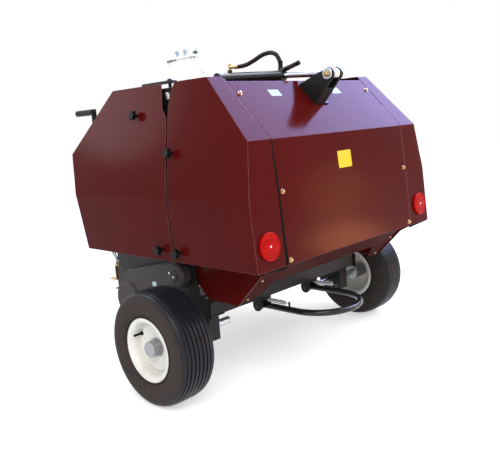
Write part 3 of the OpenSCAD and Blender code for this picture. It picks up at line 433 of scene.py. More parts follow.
class BALER_OT_finishes(bpy.types.Operator):
    """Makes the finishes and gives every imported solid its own"""

    bl_idname = "baler.finishes"
    bl_label = "Finishes"

    def execute(self, context):
        tint = colours()
        make_paint_skin()
        make_edge_wear_and_highlight()
        make_settled_dust()
        make_drawn_metal()
        # the edge colour of each painted finish is a painted highlight where it is paler than the paint, with some
        # edge wear
        painted("gloss_maroon", tint.body, tint.body_edge_highlight, 0.13, (0.10, 0.25, 0.75), (420.0, 0.025), 0.75,
                0.0035, Specular_IOR_Level=0.05)
        # the chute's paint is the body paint at 0.6 of its level as painted shade, on a rough scuffed coat
        shaded_body = [0.6 * channel for channel in tint.body]
        painted("scuffed_shaded_maroon", shaded_body, tint.body_edge_highlight, 0.5, (0.30, 0.25, 0.60), Specular_IOR_Level=0.02)
        black_edge = (0.10, 0.095, 0.09)
        painted("satin_black", tint.black, black_edge, 0.34, (0.14, 0.15, 0.75), Specular_IOR_Level=0.2)
        painted("gloss_black", tint.black, black_edge, 0.10, (0.03, 0.15, 0.75), Specular_IOR_Level=0.4)
        painted("guard_grey", tint.guard, (0.42, 0.40, 0.40), 0.36, (0.10, 0.20, 0.60), edge_share=0.9,
                Specular_IOR_Level=0.15)
        painted("painted_iron", tint.black, (0.09, 0.088, 0.085), 0.48, (0.2, 0.3, 1.0), (140.0, 0.5),
                Specular_IOR_Level=0.25)
        painted("cream_paint", tint.cream, (0.70, 0.67, 0.60), 0.28, (0.16, 0.05, 0.30), (300.0, 0.06), 0.3)
        plated("bright_zinc", tint.zinc, (0.40, 0.44, 0.50), 0.30)
        plated("dull_zinc", (0.40, 0.40, 0.41), (0.28, 0.29, 0.31), 0.42)
        plated("worn_steel", tint.steel, (0.20, 0.15, 0.11), 0.38, 0.6, 24.0, (1.0, 0.06, 1.0),
               (0.35, 0.1, 0.9))
        plated("hard_chrome", tint.chrome, (0.38, 0.40, 0.43), 0.09, 0.25, 30.0, (0.05, 1.0, 1.0),
               (0.0, 0.0, 0.1))
        plated("yellow_zinc", tint.gold, (0.62, 0.36, 0.16), 0.30, 0.5, 110.0)
        make_tyre_finish()
        make_lens_finish()
        make_rubber_finish("hose_cover", (0.030, 0.021, 0.018), 0.42, 700.0, 0.25)
        # black of the strips in the seams and under the corner covers: painted shade
        make_rubber_finish("gap_shade_black", (0.005, 0.005, 0.005), 0.60, 700.0, 0.0)
        make_rubber_finish("moulded_black", (0.004, 0.004, 0.0045), 0.38, 900.0, 0.04)
        make_plate_finish("yellow_foil", tint.plate_yellow)
        make_plate_finish("pale_foil", tint.plate_pale)
        for part in frame["record"]["subparts"]:
            solid = frame["nodes"][part["node"]]
            solid.data.materials.clear()
            finish = NODE_FINISH.get(part["node"], SLOT_FINISH[part["material_slot"]])
            solid.data.materials.append(bpy.data.materials[finish])
        return {"FINISHED"}


# mesh pieces, in millimetres from the wheel axle's foot: x forwards, y to the left, z up

def facing(origin, axis, hint=(0.0, 0.0, 1.0)):
    """Matrix whose Z runs along axis from origin, with X as near to hint as it can be."""
    z = Vector(axis).normalized()
    x = Vector(hint) - Vector(hint).dot(z) * z
    if x.length < 1e-6:
        x = z.orthogonal()
    x.normalize()
    turn = Matrix((x, z.cross(x), z)).transposed().to_4x4()
    return Matrix.Translation(Vector(origin)) @ turn


def softened(points, times):
    """Corner cutting of a closed outline, a quarter of each side at a time."""
    for _ in range(times):
        cut = []
        for a, b in zip(points, points[1:] + points[:1]):
            cut.append(tuple(p + 0.25 * (q - p) for p, q in zip(a, b)))
            cut.append(tuple(q + 0.25 * (p - q) for p, q in zip(a, b)))
        points = cut
    return points


def add_object(name, data):
    """Object that is linked to the scene."""
    thing = bpy.data.objects.new(name, data)
    bpy.context.scene.collection.objects.link(thing)
    return thing


class Shape:
    """Vertices and faces of one piece."""

    def __init__(self):
        self.points, self.faces = [], []

    def skin(self, rings, closed_way=False, caps=False):
        """Joins equal rings of points into a closed skin."""
        base, size = len(self.points), len(rings[0])
        for ring in rings:
            self.points += [Vector(p) for p in ring]
        last = len(rings) if closed_way else len(rings) - 1
        for i in range(last):
            a, b = base + i * size, base + (i + 1) % len(rings) * size
            self.faces += [(a + k, a + (k + 1) % size, b + (k + 1) % size, b + k) for k in range(size)]
        if caps:
            self.faces.append(tuple(range(base + size - 1, base - 1, -1)))
            self.faces.append(tuple(range(base + (len(rings) - 1) * size, base + len(rings) * size)))

    def sheet(self, outer, inner, cells):
        """Plate between two grids of points that has only the cells named."""
        base, wide = len(self.points), len(outer[0])
        half = len(outer) * wide
        self.points += [Vector(p) for grid in (outer, inner) for row in grid for p in row]
        used = set(cells)
        for i, k in cells:
            a = base + i * wide + k
            corners = [a, a + 1, a + wide + 1, a + wide]
            self.faces += [tuple(corners), tuple(c + half for c in reversed(corners))]
            beside = [(i - 1, k), (i, k + 1), (i + 1, k), (i, k - 1)]
            for n, other in enumerate(beside):
                if other not in used:
                    p, q = corners[n], corners[(n + 1) % 4]
                    self.faces.append((q, p, p + half, q + half))

    def lathe(self, outline, place, steps=32):
        """Turns a closed outline of (radius, height) about the Z of place."""
        rings = []
        for k in range(steps):
            c, s = math.cos(math.tau * k / steps), math.sin(math.tau * k / steps)
            rings.append([place @ Vector((r * c, r * s, h)) for r, h in outline])
        self.skin(rings, closed_way=True)

    def prism(self, outline, place, low, high, chamfer=0.0):
        """Extrudes a flat outline along the Z of place, with a chamfered upper edge."""
        centre = sum((Vector(p) for p in outline), Vector((0.0, 0.0))) / len(outline)
        reach = max((Vector(p) - centre).length for p in outline)
        levels = [(low, 1.0), (high - chamfer, 1.0)]
        if chamfer:
            levels.append((high, 1.0 - chamfer / reach))
        rings = []
        for h, share in levels:
            rings.append([place @ Vector((*(centre + share * (Vector(p) - centre)), h)) for p in outline])
        self.skin(rings, caps=True)

    def tube(self, path, radius, steps=12):
        """Tube along a path; radius is a number or a function of (distance, angle)."""
        path = [Vector(p) for p in path]
        run = 0.0
        side = (path[1] - path[0]).orthogonal().normalized()
        rings = []
        for i, point in enumerate(path):
            ahead = path[min(i + 1, len(path) - 1)] - path[max(i - 1, 0)]
            ahead.normalize()
            side = (side - side.dot(ahead) * ahead).normalized()
            over = ahead.cross(side)
            if i:
                run += (point - path[i - 1]).length
            ring = []
            for k in range(steps):
                angle = math.tau * k / steps
                r = radius(run, angle) if callable(radius) else radius
                ring.append(point + r * (math.cos(angle) * side + math.sin(angle) * over))
            rings.append(ring)
        self.skin(rings, caps=True)

    def loop(self, path, normal, radius, steps=10):
        """Closed tube round a flat path."""
        rings = []
        for i, point in enumerate(path):
            ahead = (path[(i + 1) % len(path)] - path[i - 1]).normalized()
            out = ahead.cross(normal)
            ring = []
            for k in range(steps):
                angle = math.tau * k / steps
                ring.append(point + radius * (math.cos(angle) * out + math.sin(angle) * normal))
            rings.append(ring)
        self.skin(rings, closed_way=True)

    def hex_bolt(self, origin, axis, width, washer=0.0):
        """Hexagon head on an optional washer."""
        place = facing(origin, axis)
        base = 0.0
        if washer:
            self.lathe([(0.0, 0.0), (washer, 0.0), (washer, 1.2), (washer - 0.6, 1.8), (0.0, 1.8)], place, 24)
            base = 1.8
        reach = width / math.sqrt(3.0)
        flats = [(reach * math.cos(math.tau * k / 6), reach * math.sin(math.tau * k / 6)) for k in range(6)]
        crown = base + 0.62 * width
        self.prism(flats, place, base, crown, 0.12 * width)
        dome = [(0.0, -0.5), (0.42 * width, -0.5), (0.36 * width, 0.3), (0.0, 0.3)]
        self.lathe([(r, crown + h) for r, h in dome], place, 18)

    def build(self, name, finish, body, slot, origin=None, sharp=32.0, stands_for=()):
        """Makes the object, in metres, and lets it ride on its body when one is named; otherwise it stays fixed
        where it is.
        """
        centre = Vector(origin) if origin else Vector((0.0, 0.0, 0.0))
        mesh = bpy.data.meshes.new(name)
        mesh.from_pydata([(p - centre) * MM for p in self.points], [], self.faces)
        work = bmesh.new()
        work.from_mesh(mesh)
        bmesh.ops.remove_doubles(work, verts=work.verts, dist=2e-6)
        bmesh.ops.recalc_face_normals(work, faces=work.faces)
        work.to_mesh(mesh)
        work.free()
        mesh.shade_smooth()
        mesh.set_sharp_from_angle(angle=math.radians(sharp))
        mesh.materials.append(bpy.data.materials[finish])
        piece = add_object(name, mesh)
        piece.location = centre * MM + AXLE_FOOT
        if isinstance(body, str):
            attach(piece, body)
        else:
            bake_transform(piece)
        if stands_for:
            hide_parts(*stands_for)
        return piece


def rear_point(z, y):
    """Point on the tailgate's rear outline at a height, and the outward normal there."""
    for (x0, z0), (x1, z1) in zip(REAR_LINE, REAR_LINE[1:]):
        if z <= z1:
            break
    normal = Vector((z0 - z1, 0.0, x1 - x0)).normalized()
    return Vector((x0 + (z - z0) / (z1 - z0) * (x1 - x0), y, z)), normal


def seam_strip(shape, side, heights, section):
    """Strip in a seam of the rear panel; section gives (sideways, outwards) points for a height."""
    rings = []
    for z in heights:
        point, normal = rear_point(z, side * (PANEL_HALF + PANEL_GAP / 2))
        rings.append([point + Vector((0.0, dy, 0.0)) + depth * normal for dy, depth in section(z)])
    shape.skin(rings, caps=True)


def rounded_rectangle(width, height, corner, steps=4):
    """Flat outline with round corners."""
    outline = []
    for k, (sx, sy) in enumerate([(1, 1), (-1, 1), (-1, -1), (1, -1)]):
        for i in range(steps + 1):
            angle = math.radians(90 * k + 90 * i / steps)
            outline.append((sx * (width / 2 - corner) + corner * math.cos(angle),
                            sy * (height / 2 - corner) + corner * math.sin(angle)))
    return outline


# wheels

# half of the tyre's outer line as (radius, distance from the middle plane), from the crown to the bead
TYRE_LINE = [(203.0, 0.0), (203.0, 30.0), (199.0, 55.0), (187.0, 70.0), (163.0, 75.0), (136.0, 72.0),
             (116.0, 61.5), (104.0, 57.0), (94.2, 45.0)]
# grooves and rings as (place along the line, half width, depth); a negative depth stands proud
TREAD_GROOVES = [(8.5, 2.4, 5.0), (25.5, 2.4, 5.0), (42.0, 2.2, 4.6), (57.0, 1.8, 3.2), (71.0, 1.0, 1.2)]
WALL_RINGS = [(100.0, 1.4, -0.4), (112.0, 0.8, -0.7), (131.0, 0.8, -0.7), (150.0, 2.6, -1.2)]
GROOVE_SLOPE = 0.8
# tick marks round the wall, and the section of the bare panels as (radius, distance from the middle plane)
TICKS, TICK_RADIUS, TICK_SEAT = 90, 124.0, 65.6
TICK = [(-5.0, -0.9), (5.0, -0.9), (5.0, 0.9), (-5.0, 0.9)]
BARE_PANEL = [(143.0, 71.0), (143.0, 74.2), (157.0, 75.6), (157.0, 72.0)]


def curve_through(points, steps):
    """Smooth line through the points, with equal steps between each two."""
    line = []
    padded = [points[0], *points, points[-1]]
    for a, b, c, d in zip(padded, padded[1:], padded[2:], padded[3:]):
        for i in range(steps):
            t = i / steps
            line.append(tuple(0.5 * (2 * q + (r - p) * t + (2 * p - 5 * q + 4 * r - s) * t * t
                                     + (3 * q - p - 3 * r + s) * t ** 3) for p, q, r, s in zip(a, b, c, d)))
    return [*line, points[-1]]


def tyre_half():
    """Half outline of the ribbed tyre, from the crown to the bead."""
    line = [Vector(p) for p in curve_through(TYRE_LINE, 12)]
    runs = [0.0]
    for a, b in zip(line, line[1:]):
        runs.append(runs[-1] + (b - a).length)
    marks = TREAD_GROOVES + WALL_RINGS
    stops = {round(runs[-1] * k / 30, 3) for k in range(31)}
    for centre, half, _ in marks:
        stops |= {round(centre + side * (half + more), 3) for side in (-1, 1) for more in (0.0, GROOVE_SLOPE)}
    outline = []
    for stop in sorted(s for s in stops if 0.0 <= s <= runs[-1]):
        i = max(k for k, run in enumerate(runs) if run <= stop + 1e-9)
        i = min(i, len(line) - 2)
        ahead = (line[i + 1] - line[i]).normalized()
        point = line[i] + (stop - runs[i]) * ahead
        inward = Vector((-ahead.y, ahead.x))
        depth = 0.0
        for centre, half, deep in marks:
            share = (half + GROOVE_SLOPE - abs(stop - centre)) / GROOVE_SLOPE
            depth += deep * max(0.0, min(1.0, share))
        outline.append(point + depth * inward)
    return outline


def wheel_tyre(side):
    """Ribbed tyre with rings, tick marks and bare panels on its walls."""
    hub = Vector((0.0, side * TRACK_HALF, AXLE_HEIGHT))
    place = facing(hub, (0.0, 1.0, 0.0))
    half = tyre_half()
    right = [(p.x, p.y) for p in half]
    left = [(p.x, -p.y) for p in reversed(half)]
    shape = Shape()
    shape.lathe(left + right[1:], place, 120)
    turned = place.to_3x3()
    for face in (-1, 1):
        for k in range(TICKS):
            angle = math.tau * k / TICKS
            out = Vector((math.cos(angle), math.sin(angle), 0.0))
            seat = place @ (TICK_RADIUS * out + Vector((0.0, 0.0, face * TICK_SEAT)))
            turn = facing(seat, turned @ Vector((0, 0, face)), turned @ out)
            shape.prism(TICK, turn, -2.0, 1.6, 0.3)
        for start in (20.0, 200.0):
            rings = []
            for i in range(15):
                angle = math.radians(start + 2.6 * i)
                c, s = math.cos(angle), math.sin(angle)
                rings.append([place @ Vector((r * c, r * s, face * h)) for r, h in BARE_PANEL])
            shape.skin(rings, caps=True)
    return shape, hub


# outline of the wheel dish as (radius, distance outwards from the wheel's middle plane)
RIM_OUTLINE = [(32.0, 24.0), (60.0, 24.0), (78.0, 34.0), (89.5, 23.0), (90.0, 49.0), (99.0, 65.0),
               (111.0, 67.4), (114.0, 65.0), (111.0, 62.5), (103.0, 59.0), (94.0, 47.0), (94.0, -47.0),
               (103.0, -59.0), (111.0, -62.5), (114.0, -65.0), (111.0, -67.4), (99.0, -65.0), (90.0, -49.0),
               (90.0, 14.0), (78.0, 28.0), (62.0, 18.0), (32.0, 18.0)]
VALVE_OUTLINE = [(0.0, -4.0), (7.5, -4.0), (7.5, 0.0), (6.0, 3.0), (4.6, 8.0), (4.2, 22.0), (3.4, 22.5),
                 (3.4, 24.0), (4.3, 24.5), (4.3, 32.0), (3.4, 34.0), (0.0, 34.0)]
VALVE_ANGLE, VALVE_RADIUS, VALVE_SEAT = math.radians(30.0), 79.0, 32.0


class BALER_OT_wheels(bpy.types.Operator):
    """Ribbed tyres, dished rims and valves on both wheels"""

    bl_idname = "baler.wheels"
    bl_label = "Wheels"

    def execute(self, context):
        for name, side in (("left", 1), ("right", -1)):
            body = name + "_wheel"
            shape, hub = wheel_tyre(side)
            shape.build(name + "_tyre_ribbed", "dusty_tyre", body, "tyre_rubber", hub, 24.0, [name + "_tyre"])
            dish = Shape()
            outward = facing(hub, (0.0, side, 0.0))
            dish.lathe(softened(RIM_OUTLINE, 2), outward, 96)
            dish.build(name + "_rim_dish", "cream_paint", body, "rim_paint", hub, 40.0, [name + "_rim"])
            valve = Shape()
            foot = hub + Vector((VALVE_RADIUS * math.cos(VALVE_ANGLE), side * VALVE_SEAT,
                                 VALVE_RADIUS * math.sin(VALVE_ANGLE)))
            valve.lathe(VALVE_OUTLINE, facing(foot, (0.0, side, 0.0)), 20)
            valve.build(name + "_valve", "moulded_black", body, "black_plastic")
        return {"FINISHED"}


# tailgate

# bolts on the rear panel as (height, distance from the middle), one on each side
PANEL_BOLTS = [(1036.0, 368.0), (719.0, 370.0), (499.0, 371.0)]
# bolts along the chute as (x, z) on its slope
CHUTE_BOLTS = [(-307.0, 424.2), (-231.0, 348.9)]
CHUTE_BOLT_SIDE = 398.0
CHUTE_OUTWARD = (-0.704, 0.0, -0.71)
# the chute's outer line as (x, z) from the upper edge, and half the width of its opening at each point
CHUTE_LINE = [(-392.0, 492.0), (-334.0, 451.0), (-281.5, 399.0), (-219.0, 337.0), (-196.0, 337.0)]
CHUTE_OPEN = [305.0, 305.0, 305.0, 352.0, 352.0]
CHUTE_HALF = 428.8
SHEET = 3.0
LENS_HEIGHT, LENS_SIDE = 560.0, 463.0
LENS_OUTLINE = [(0.0, 8.6), (10.0, 8.5), (24.0, 8.1), (36.0, 7.3), (39.5, 6.6), (40.5, 8.0), (43.0, 8.6),
                (45.0, 7.4), (45.0, 0.4), (0.0, 0.4)]
SCREW_OUTLINE = [(0.0, 7.5), (3.8, 7.5), (3.8, 9.0), (2.8, 9.9), (1.2, 10.3), (1.2, 9.5), (0.0, 9.5)]
# blank plates as (height, sideways), and how far their back lies in the paint
YELLOW_PLATE = (790.0, 15.0)
PALE_PLATES = [(1035.0, 197.0), (1037.0, -156.0)]
PLATE_BACK, PLATE_EDGE = -0.2, 0.15
# heights along the seams of the panel, and sections of the slim strips as (sideways, outwards)
LOWER_SEAM = (486.0, 560.0, 703.0, 705.0, 800.0, 882.0)
LEFT_SLOPE, RIGHT_SLOPE, RIGHT_TOP = (887.0, 950.0, 1088.0), (887.0, 970.0), (970.0, 1088.0)
FILLER = [(-2.9, -2.6), (2.9, -2.6), (2.9, -0.2), (0.0, -0.15), (-2.9, -0.2)]
# black strip in the top of the right seam: painted shade of the gap
SLIM_SHADE = [(-2.9, -2.6), (2.9, -2.6), (2.9, -0.3), (0.0, -0.4), (-2.9, -0.3)]
# black wedge under a corner cover, painted shade of the dark gap there: section next to the panel as (x, z), and
# its share at distances from the middle
SKIRT_SHADE = [(-413.0, 483.8), (-409.5, 483.8), (-404.0, 473.0), (-406.5, 471.5)]
SKIRT_SHARES = [(386.0, 1.0), (450.0, 0.6), (519.0, 0.2)]


def lipped_shade(z):
    """Section of the black strip in the left seam, painted shade of the gap, whose lip widens towards the lower
    edge.
    """
    lip = 3.4 + 2.6 * (LOWER_SEAM[-1] - z) / (LOWER_SEAM[-1] - LOWER_SEAM[0])
    return [(-2.8, -2.9), (2.8, -2.9), (2.8, 0.2), (lip, 0.2), (lip - 0.6, 0.7), (0.0, 0.4), (0.6 - lip, 0.7),
            (-lip, 0.2), (-2.8, 0.2)]


class BALER_OT_tailgate(bpy.types.Operator):
    """Chute plate, bolts, lenses, blank plates and seam strips of the tailgate"""

    bl_idname = "baler.tailgate"
    bl_label = "Tailgate pieces"

    def execute(self, context):
        self.chute()
        self.bolts()
        self.lenses()
        self.plates()
        self.fillers()
        self.gap_shades()
        return {"FINISHED"}

    def chute(self):
        """Folded plate under the panel, open in the middle of its lower half."""
        line = [Vector(p) for p in CHUTE_LINE]
        ways = [(b - a).normalized() for a, b in zip(line, line[1:])]
        outer, inner = [], []
        for i, point in enumerate(line):
            a, b = ways[max(i - 1, 0)], ways[min(i, len(ways) - 1)]
            sides = Vector((-a.y, a.x)), Vector((-b.y, b.x))
            inward = SHEET * (sides[0] + sides[1]) / (1.0 + sides[0].dot(sides[1]))
            across = (-CHUTE_HALF, -CHUTE_OPEN[i], CHUTE_OPEN[i], CHUTE_HALF)
            outer.append([Vector((point.x, y, point.y)) for y in across])
            inner.append([Vector((point.x + inward.x, y, point.y + inward.y)) for y in across])
        plate = Shape()
        cells = [(i, k) for i in range(4) for k in range(3) if k != 1 or i < 2]
        plate.sheet(outer, inner, cells)
        # its darker paint is painted shade
        plate.build("chute_plate", "scuffed_shaded_maroon", "tailgate", "maroon_paint", sharp=20.0,
                    stands_for=["gate_chute"])

    def bolts(self):
        width = sizes().bolt_width / MM
        bolts = Shape()
        for side in (-1, 1):
            for z, y in PANEL_BOLTS:
                point, normal = rear_point(z, side * y)
                bolts.hex_bolt(point, normal, width, 0.82 * width)
            for x, z in CHUTE_BOLTS:
                bolts.hex_bolt((x, side * CHUTE_BOLT_SIDE, z), CHUTE_OUTWARD, 0.6 * width, 0.5 * width)
        bolts.build("panel_bolts", "yellow_zinc", "tailgate", "gold_zinc")

    def lenses(self):
        lens, screws = Shape(), Shape()
        for side in (-1, 1):
            point, normal = rear_point(LENS_HEIGHT, side * LENS_SIDE)
            place = facing(point, normal)
            lens.lathe(LENS_OUTLINE, place, 64)
            screws.lathe(SCREW_OUTLINE, place, 20)
        lens.build("rear_lenses", "red_lens", "tailgate", "reflector_red", stands_for=["reflectors"])
        screws.build("lens_screws", "bright_zinc", "tailgate", "zinc_plate")

    def plates(self):
        thick = sizes().plate_thickness / MM
        yellow, pale = Shape(), Shape()
        large, small = rounded_rectangle(60.0, 79.0, 4.0), rounded_rectangle(31.0, 54.0, 2.0)
        yellow.prism(large, facing(*rear_point(*YELLOW_PLATE)), PLATE_BACK, thick, PLATE_EDGE)
        yellow.build("yellow_plate", "yellow_foil", "tailgate", "maroon_paint")
        for place in PALE_PLATES:
            pale.prism(small, facing(*rear_point(*place)), PLATE_BACK, thick, PLATE_EDGE)
        pale.build("pale_plates", "pale_foil", "tailgate", "maroon_paint")

    def fillers(self):
        """Painted strips that close the right seam and the slope's left seam just below the surface."""
        strip = Shape()
        seam_strip(strip, 1, LEFT_SLOPE, lambda z: FILLER)
        seam_strip(strip, -1, LOWER_SEAM + RIGHT_SLOPE, lambda z: FILLER)
        strip.build("seam_fillers", "gloss_maroon", "tailgate", "maroon_paint")

    def gap_shades(self):
        """Black strips in the left seam and the top of the right one, and wedges under the corner covers: painted
        shade of the dark gaps there.
        """
        shade_shape = Shape()
        seam_strip(shade_shape, 1, LOWER_SEAM, lipped_shade)
        seam_strip(shade_shape, -1, RIGHT_TOP, lambda z: SLIM_SHADE)
        x0, z0 = SKIRT_SHADE[0]
        for side in (-1, 1):
            shade_shape.skin([[(x0 + share * (x - x0), side * y, z0 + share * (z - z0)) for x, z in SKIRT_SHADE]
                       for y, share in SKIRT_SHARES], caps=True)
        shade_shape.build("seam_gap_shades", "gap_shade_black", "tailgate", "hose_rubber")


# ram and its lines

def ram_place():
    """Frame of the ram: base pin at the origin, X along the rod, Z up."""
    ahead = (RAM_PIN - RAM_BASE).normalized()
    up = Vector((ahead.z, 0.0, -ahead.x))
    turn = Matrix((ahead, up.cross(ahead), up)).transposed().to_4x4()
    return Matrix.Translation(RAM_BASE) @ turn


def even(path, step):
    """The same path in short equal steps."""
    path = [Vector(p) for p in path]
    result, left = [path[0]], step
    for a, b in zip(path, path[1:]):
        span = (b - a).length
        run = left
        while run < span:
            result.append(a + (b - a) * run / span)
            run += step
        left = run - span
    return [*result, path[-1]]


# the hose's middle line as (along the rod, up) in the ram's frame
HOSE_LINE = [(84.0, 42.0), (104.0, 42.0), (125.0, 43.5), (155.0, 50.0), (190.0, 63.0), (224.0, 77.5),
             (256.0, 85.5), (284.0, 85.5), (305.0, 76.0), (318.0, 58.0), (323.0, 42.0), (324.0, 31.0)]
# groove of the hose wrap: its depth and half its share of a turn; and the step of the rings along the hose
WRAP_DEPTH, WRAP_SHARE, HOSE_STEP = 2.2, 0.22, 1.3
# capped end of the second line: its start in the ram's frame, and its direction there
STUB_START = Vector((345.0, 0.0, 22.0))
STUB_AHEAD = Vector((0.951, 0.0, 0.309))
# seats of the ferrules at the hose's two ends, in the ram's frame
NEAR_SEAT, FAR_SEAT = Vector((70.0, 0.0, 42.0)), Vector((324.0, 0.0, 24.0))
# turned pieces as (radius, height), and distances of the rod pin's washers and heads from its middle
FERRULE = [(0.0, 0.0), (6.5, 0.0), (7.4, 1.0), (7.4, 5.0), (8.9, 6.0), (8.9, 11.0), (8.2, 11.8),
           (8.2, 13.2), (8.9, 14.0), (8.9, 19.0), (8.2, 19.8), (8.2, 21.2), (8.9, 22.0), (8.9, 30.0),
           (8.0, 31.0), (0.0, 31.0)]
PIN_WASHER = [(0.0, 0.0), (19.5, 0.0), (20.0, 0.5), (20.0, 2.3), (19.3, 2.8), (0.0, 2.8)]
CAP = [(0.0, 0.0), (8.6, 0.0), (8.6, 14.0), (7.4, 16.5), (5.0, 17.6), (0.0, 18.0)]
WASHER_SIDE, HEAD_SIDE, HEAD_WIDTH = 34.0, 36.6, 19.0


class BALER_OT_ram(bpy.types.Operator):
    """Wrapped hose, capped line end and their ferrules, and the rod pin's heads and washers"""

    bl_idname = "baler.ram"
    bl_label = "Ram pieces"

    def execute(self, context):
        place = ram_place()
        pitch, outer = sizes().hose_pitch / MM, sizes().hose_width / 2 / MM

        def wrap(run, angle):
            turn = (run / pitch + angle / math.tau) % 1.0
            return outer - WRAP_DEPTH * max(0.0, 1.0 - min(turn, 1.0 - turn) / WRAP_SHARE)

        hose, stub = Shape(), Shape()
        curve = curve_through([Vector((x, 0.0, z)) for x, z in HOSE_LINE], 12)
        route = [place @ p for p in even(curve, HOSE_STEP)]
        hose.tube(route, wrap, 24)
        piece = hose.build("wrapped_hose", "hose_cover", "ram_tube", "hose_rubber", sharp=50.0,
                           stands_for=["ram_hose"])
        straight = even([STUB_START + 4.0 * STUB_AHEAD, STUB_START + 64.0 * STUB_AHEAD], HOSE_STEP)
        stub.tube([place @ p for p in straight], wrap, 24)
        stub.build("line_stub", "hose_cover", "ram_tube", "hose_rubber", sharp=50.0)
        gold, dark = Shape(), Shape()
        turn = place.to_3x3()
        gold.lathe(FERRULE, facing(place @ NEAR_SEAT, turn @ Vector((1, 0, 0))), 28)
        gold.build("hose_ferrule", "yellow_zinc", "ram_tube", "gold_zinc")
        dark.lathe(FERRULE, facing(place @ FAR_SEAT, turn @ Vector((0, 0, 1))), 28)
        dark.lathe(FERRULE, facing(place @ (STUB_START - 8.0 * STUB_AHEAD), turn @ STUB_AHEAD), 28)
        dark.lathe(CAP, facing(place @ (STUB_START + 58.0 * STUB_AHEAD), turn @ STUB_AHEAD), 28)
        dark.build("hose_ends", "moulded_black", "ram_tube", "black_plastic")
        heads, washers = Shape(), Shape()
        for side in (-1, 1):
            outward = Vector((0.0, side, 0.0))
            washers.lathe(PIN_WASHER, facing(RAM_PIN + WASHER_SIDE * outward, outward), 40)
            heads.hex_bolt(RAM_PIN + HEAD_SIDE * outward, outward, HEAD_WIDTH)
        washers.build("rod_pin_washers", "bright_zinc", "tailgate", "zinc_plate")
        heads.build("rod_pin_heads", "yellow_zinc", "tailgate", "gold_zinc")
        return {"FINISHED"}


# kicker hoop springs

# ends and outer radius of the left spring, the straight wire at both ends together, and points in a turn
SPRING_FRONT = Vector((-79.2, 148.0, 262.0))
SPRING_REAR = Vector((-195.8, 148.0, 262.0))
SPRING_REACH = 8.0
SPRING_ENDS = 28.0
TURN_STEPS = 14


class BALER_OT_springs(bpy.types.Operator):
    """Wound springs between the axle beam and the kicker hoop"""

    bl_idname = "baler.springs"
    bl_label = "Hoop springs"

    def execute(self, context):
        wire, turns = sizes().spring_wire / MM, sizes().spring_turns
        mean = SPRING_REACH - wire / 2
        span = SPRING_FRONT.x - SPRING_REAR.x
        coil, points = span - SPRING_ENDS, turns * TURN_STEPS
        for name, side in (("left", 1), ("right", -1)):
            path = [Vector((0.0, 0.0, -4.0)), Vector((2.0, 0.0, 0.0)), Vector((8.0, 0.0, 0.0))]
            for i in range(points + 1):
                angle = math.tau * i / TURN_STEPS
                grow = mean * min(1.0, i / TURN_STEPS, (points - i) / TURN_STEPS)
                path.append(Vector((SPRING_ENDS / 2 + coil * i / points, grow * math.sin(angle),
                                    grow * math.cos(angle))))
            path += [Vector((span - 8.0, 0.0, 0.0)), Vector((span - 2.0, 0.0, 0.0)),
                     Vector((span, 0.0, -4.0))]
            flip = Vector((1.0, side, 1.0))
            spring = Shape()
            spring.tube([SPRING_REAR * flip + p for p in path], wire / 2, 8)
            front, rear = [end * flip * MM + AXLE_FOOT for end in (SPRING_FRONT, SPRING_REAR)]
            stands = ["kicker_springs"] if side > 0 else []
            spring.build(name + "_hoop_spring", "bright_zinc", ("frame", "kick_hoop", front, rear),
                         "zinc_plate", sharp=60.0, stands_for=stands)
        return {"FINISHED"}


# guard, pick-up fittings and welds

# outer faces of the guard, its boss, the pick-up plates and the walls, as distances from the middle
GUARD_FACE, BOSS_FACE, PICKUP_FACE, WALL_FACE = 486.2, 493.2, 406.1, 429.7
BOSS_BOLTS = [(58.0, 429.0), (36.0, 416.0)]
# middle and half width of a lift strip across the machine, and its bolt and the pin below as (x, z)
STRIP_SIDE, STRIP_HALF = 400.0, 12.0
STRIP_BOLT, EDGE_PIN_PLACE = (518.0, 394.0), (520.0, 292.0)
# bent strip on the front edge of a pick-up plate as (x, z)
LIFT_STRIP = [(530.2, 385.0), (534.2, 385.0), (534.2, 329.0), (537.2, 326.0), (583.0, 326.0), (585.0, 324.0),
              (583.0, 322.0), (533.0, 322.0), (530.2, 325.0)]
# pins that hold the lift chain, from their seats: (radius, height)
CHAIN_PIN = [(0.0, 0.0), (3.0, 0.0), (3.0, 12.0), (8.5, 12.0), (8.5, 16.0), (7.0, 17.6), (0.0, 17.6)]
EDGE_PIN = [(0.0, -12.0), (4.0, -12.0), (4.0, 18.0), (3.2, 20.0), (0.0, 20.0)]
CHAIN_TOP = Vector((552.0, 423.0, 505.0))
CHAIN_MIDDLE = Vector((524.0, 416.0, 438.0))
CHAIN_FOOT = Vector((505.0, 412.0, 418.0))
CHAIN_LINKS = 9


def chain_line(t):
    """Point of the slack lift chain, from its upper pin to its lower one."""
    return (1 - t) ** 2 * CHAIN_TOP + 2 * t * (1 - t) * CHAIN_MIDDLE + t * t * CHAIN_FOOT


def chain_link(chain, middle, ahead, across, wire):
    """One oval link, long in the direction ahead."""
    path = []
    for k in range(24):
        angle = math.tau * k / 24
        c, s = math.cos(angle), math.sin(angle)
        path.append(middle + (5.8 * c + math.copysign(3.6, c)) * ahead + 6.0 * s * across)
    chain.loop(path, ahead.cross(across).normalized(), wire / 2)


# weld beads on the left as paths; each is repeated on the right
WELDS = [
    [(565.0, 305.5, 599.5), (635.0, 305.5, 599.5)],
    [(565.0, 234.5, 599.5), (635.0, 234.5, 599.5)],
    [(570.5, 321.0, 520.5), (634.0, 321.0, 520.5)],
    [(570.5, 333.5, 520.5), (634.0, 333.5, 520.5)],
    [(-81.5, 118.5, 271.5), (-39.0, 118.5, 271.5)],
    [(-81.5, 178.0, 271.5), (-39.0, 178.0, 271.5)],
    [(-86.0, 376.5, 272.0), (-86.0, 425.5, 272.0)],
]
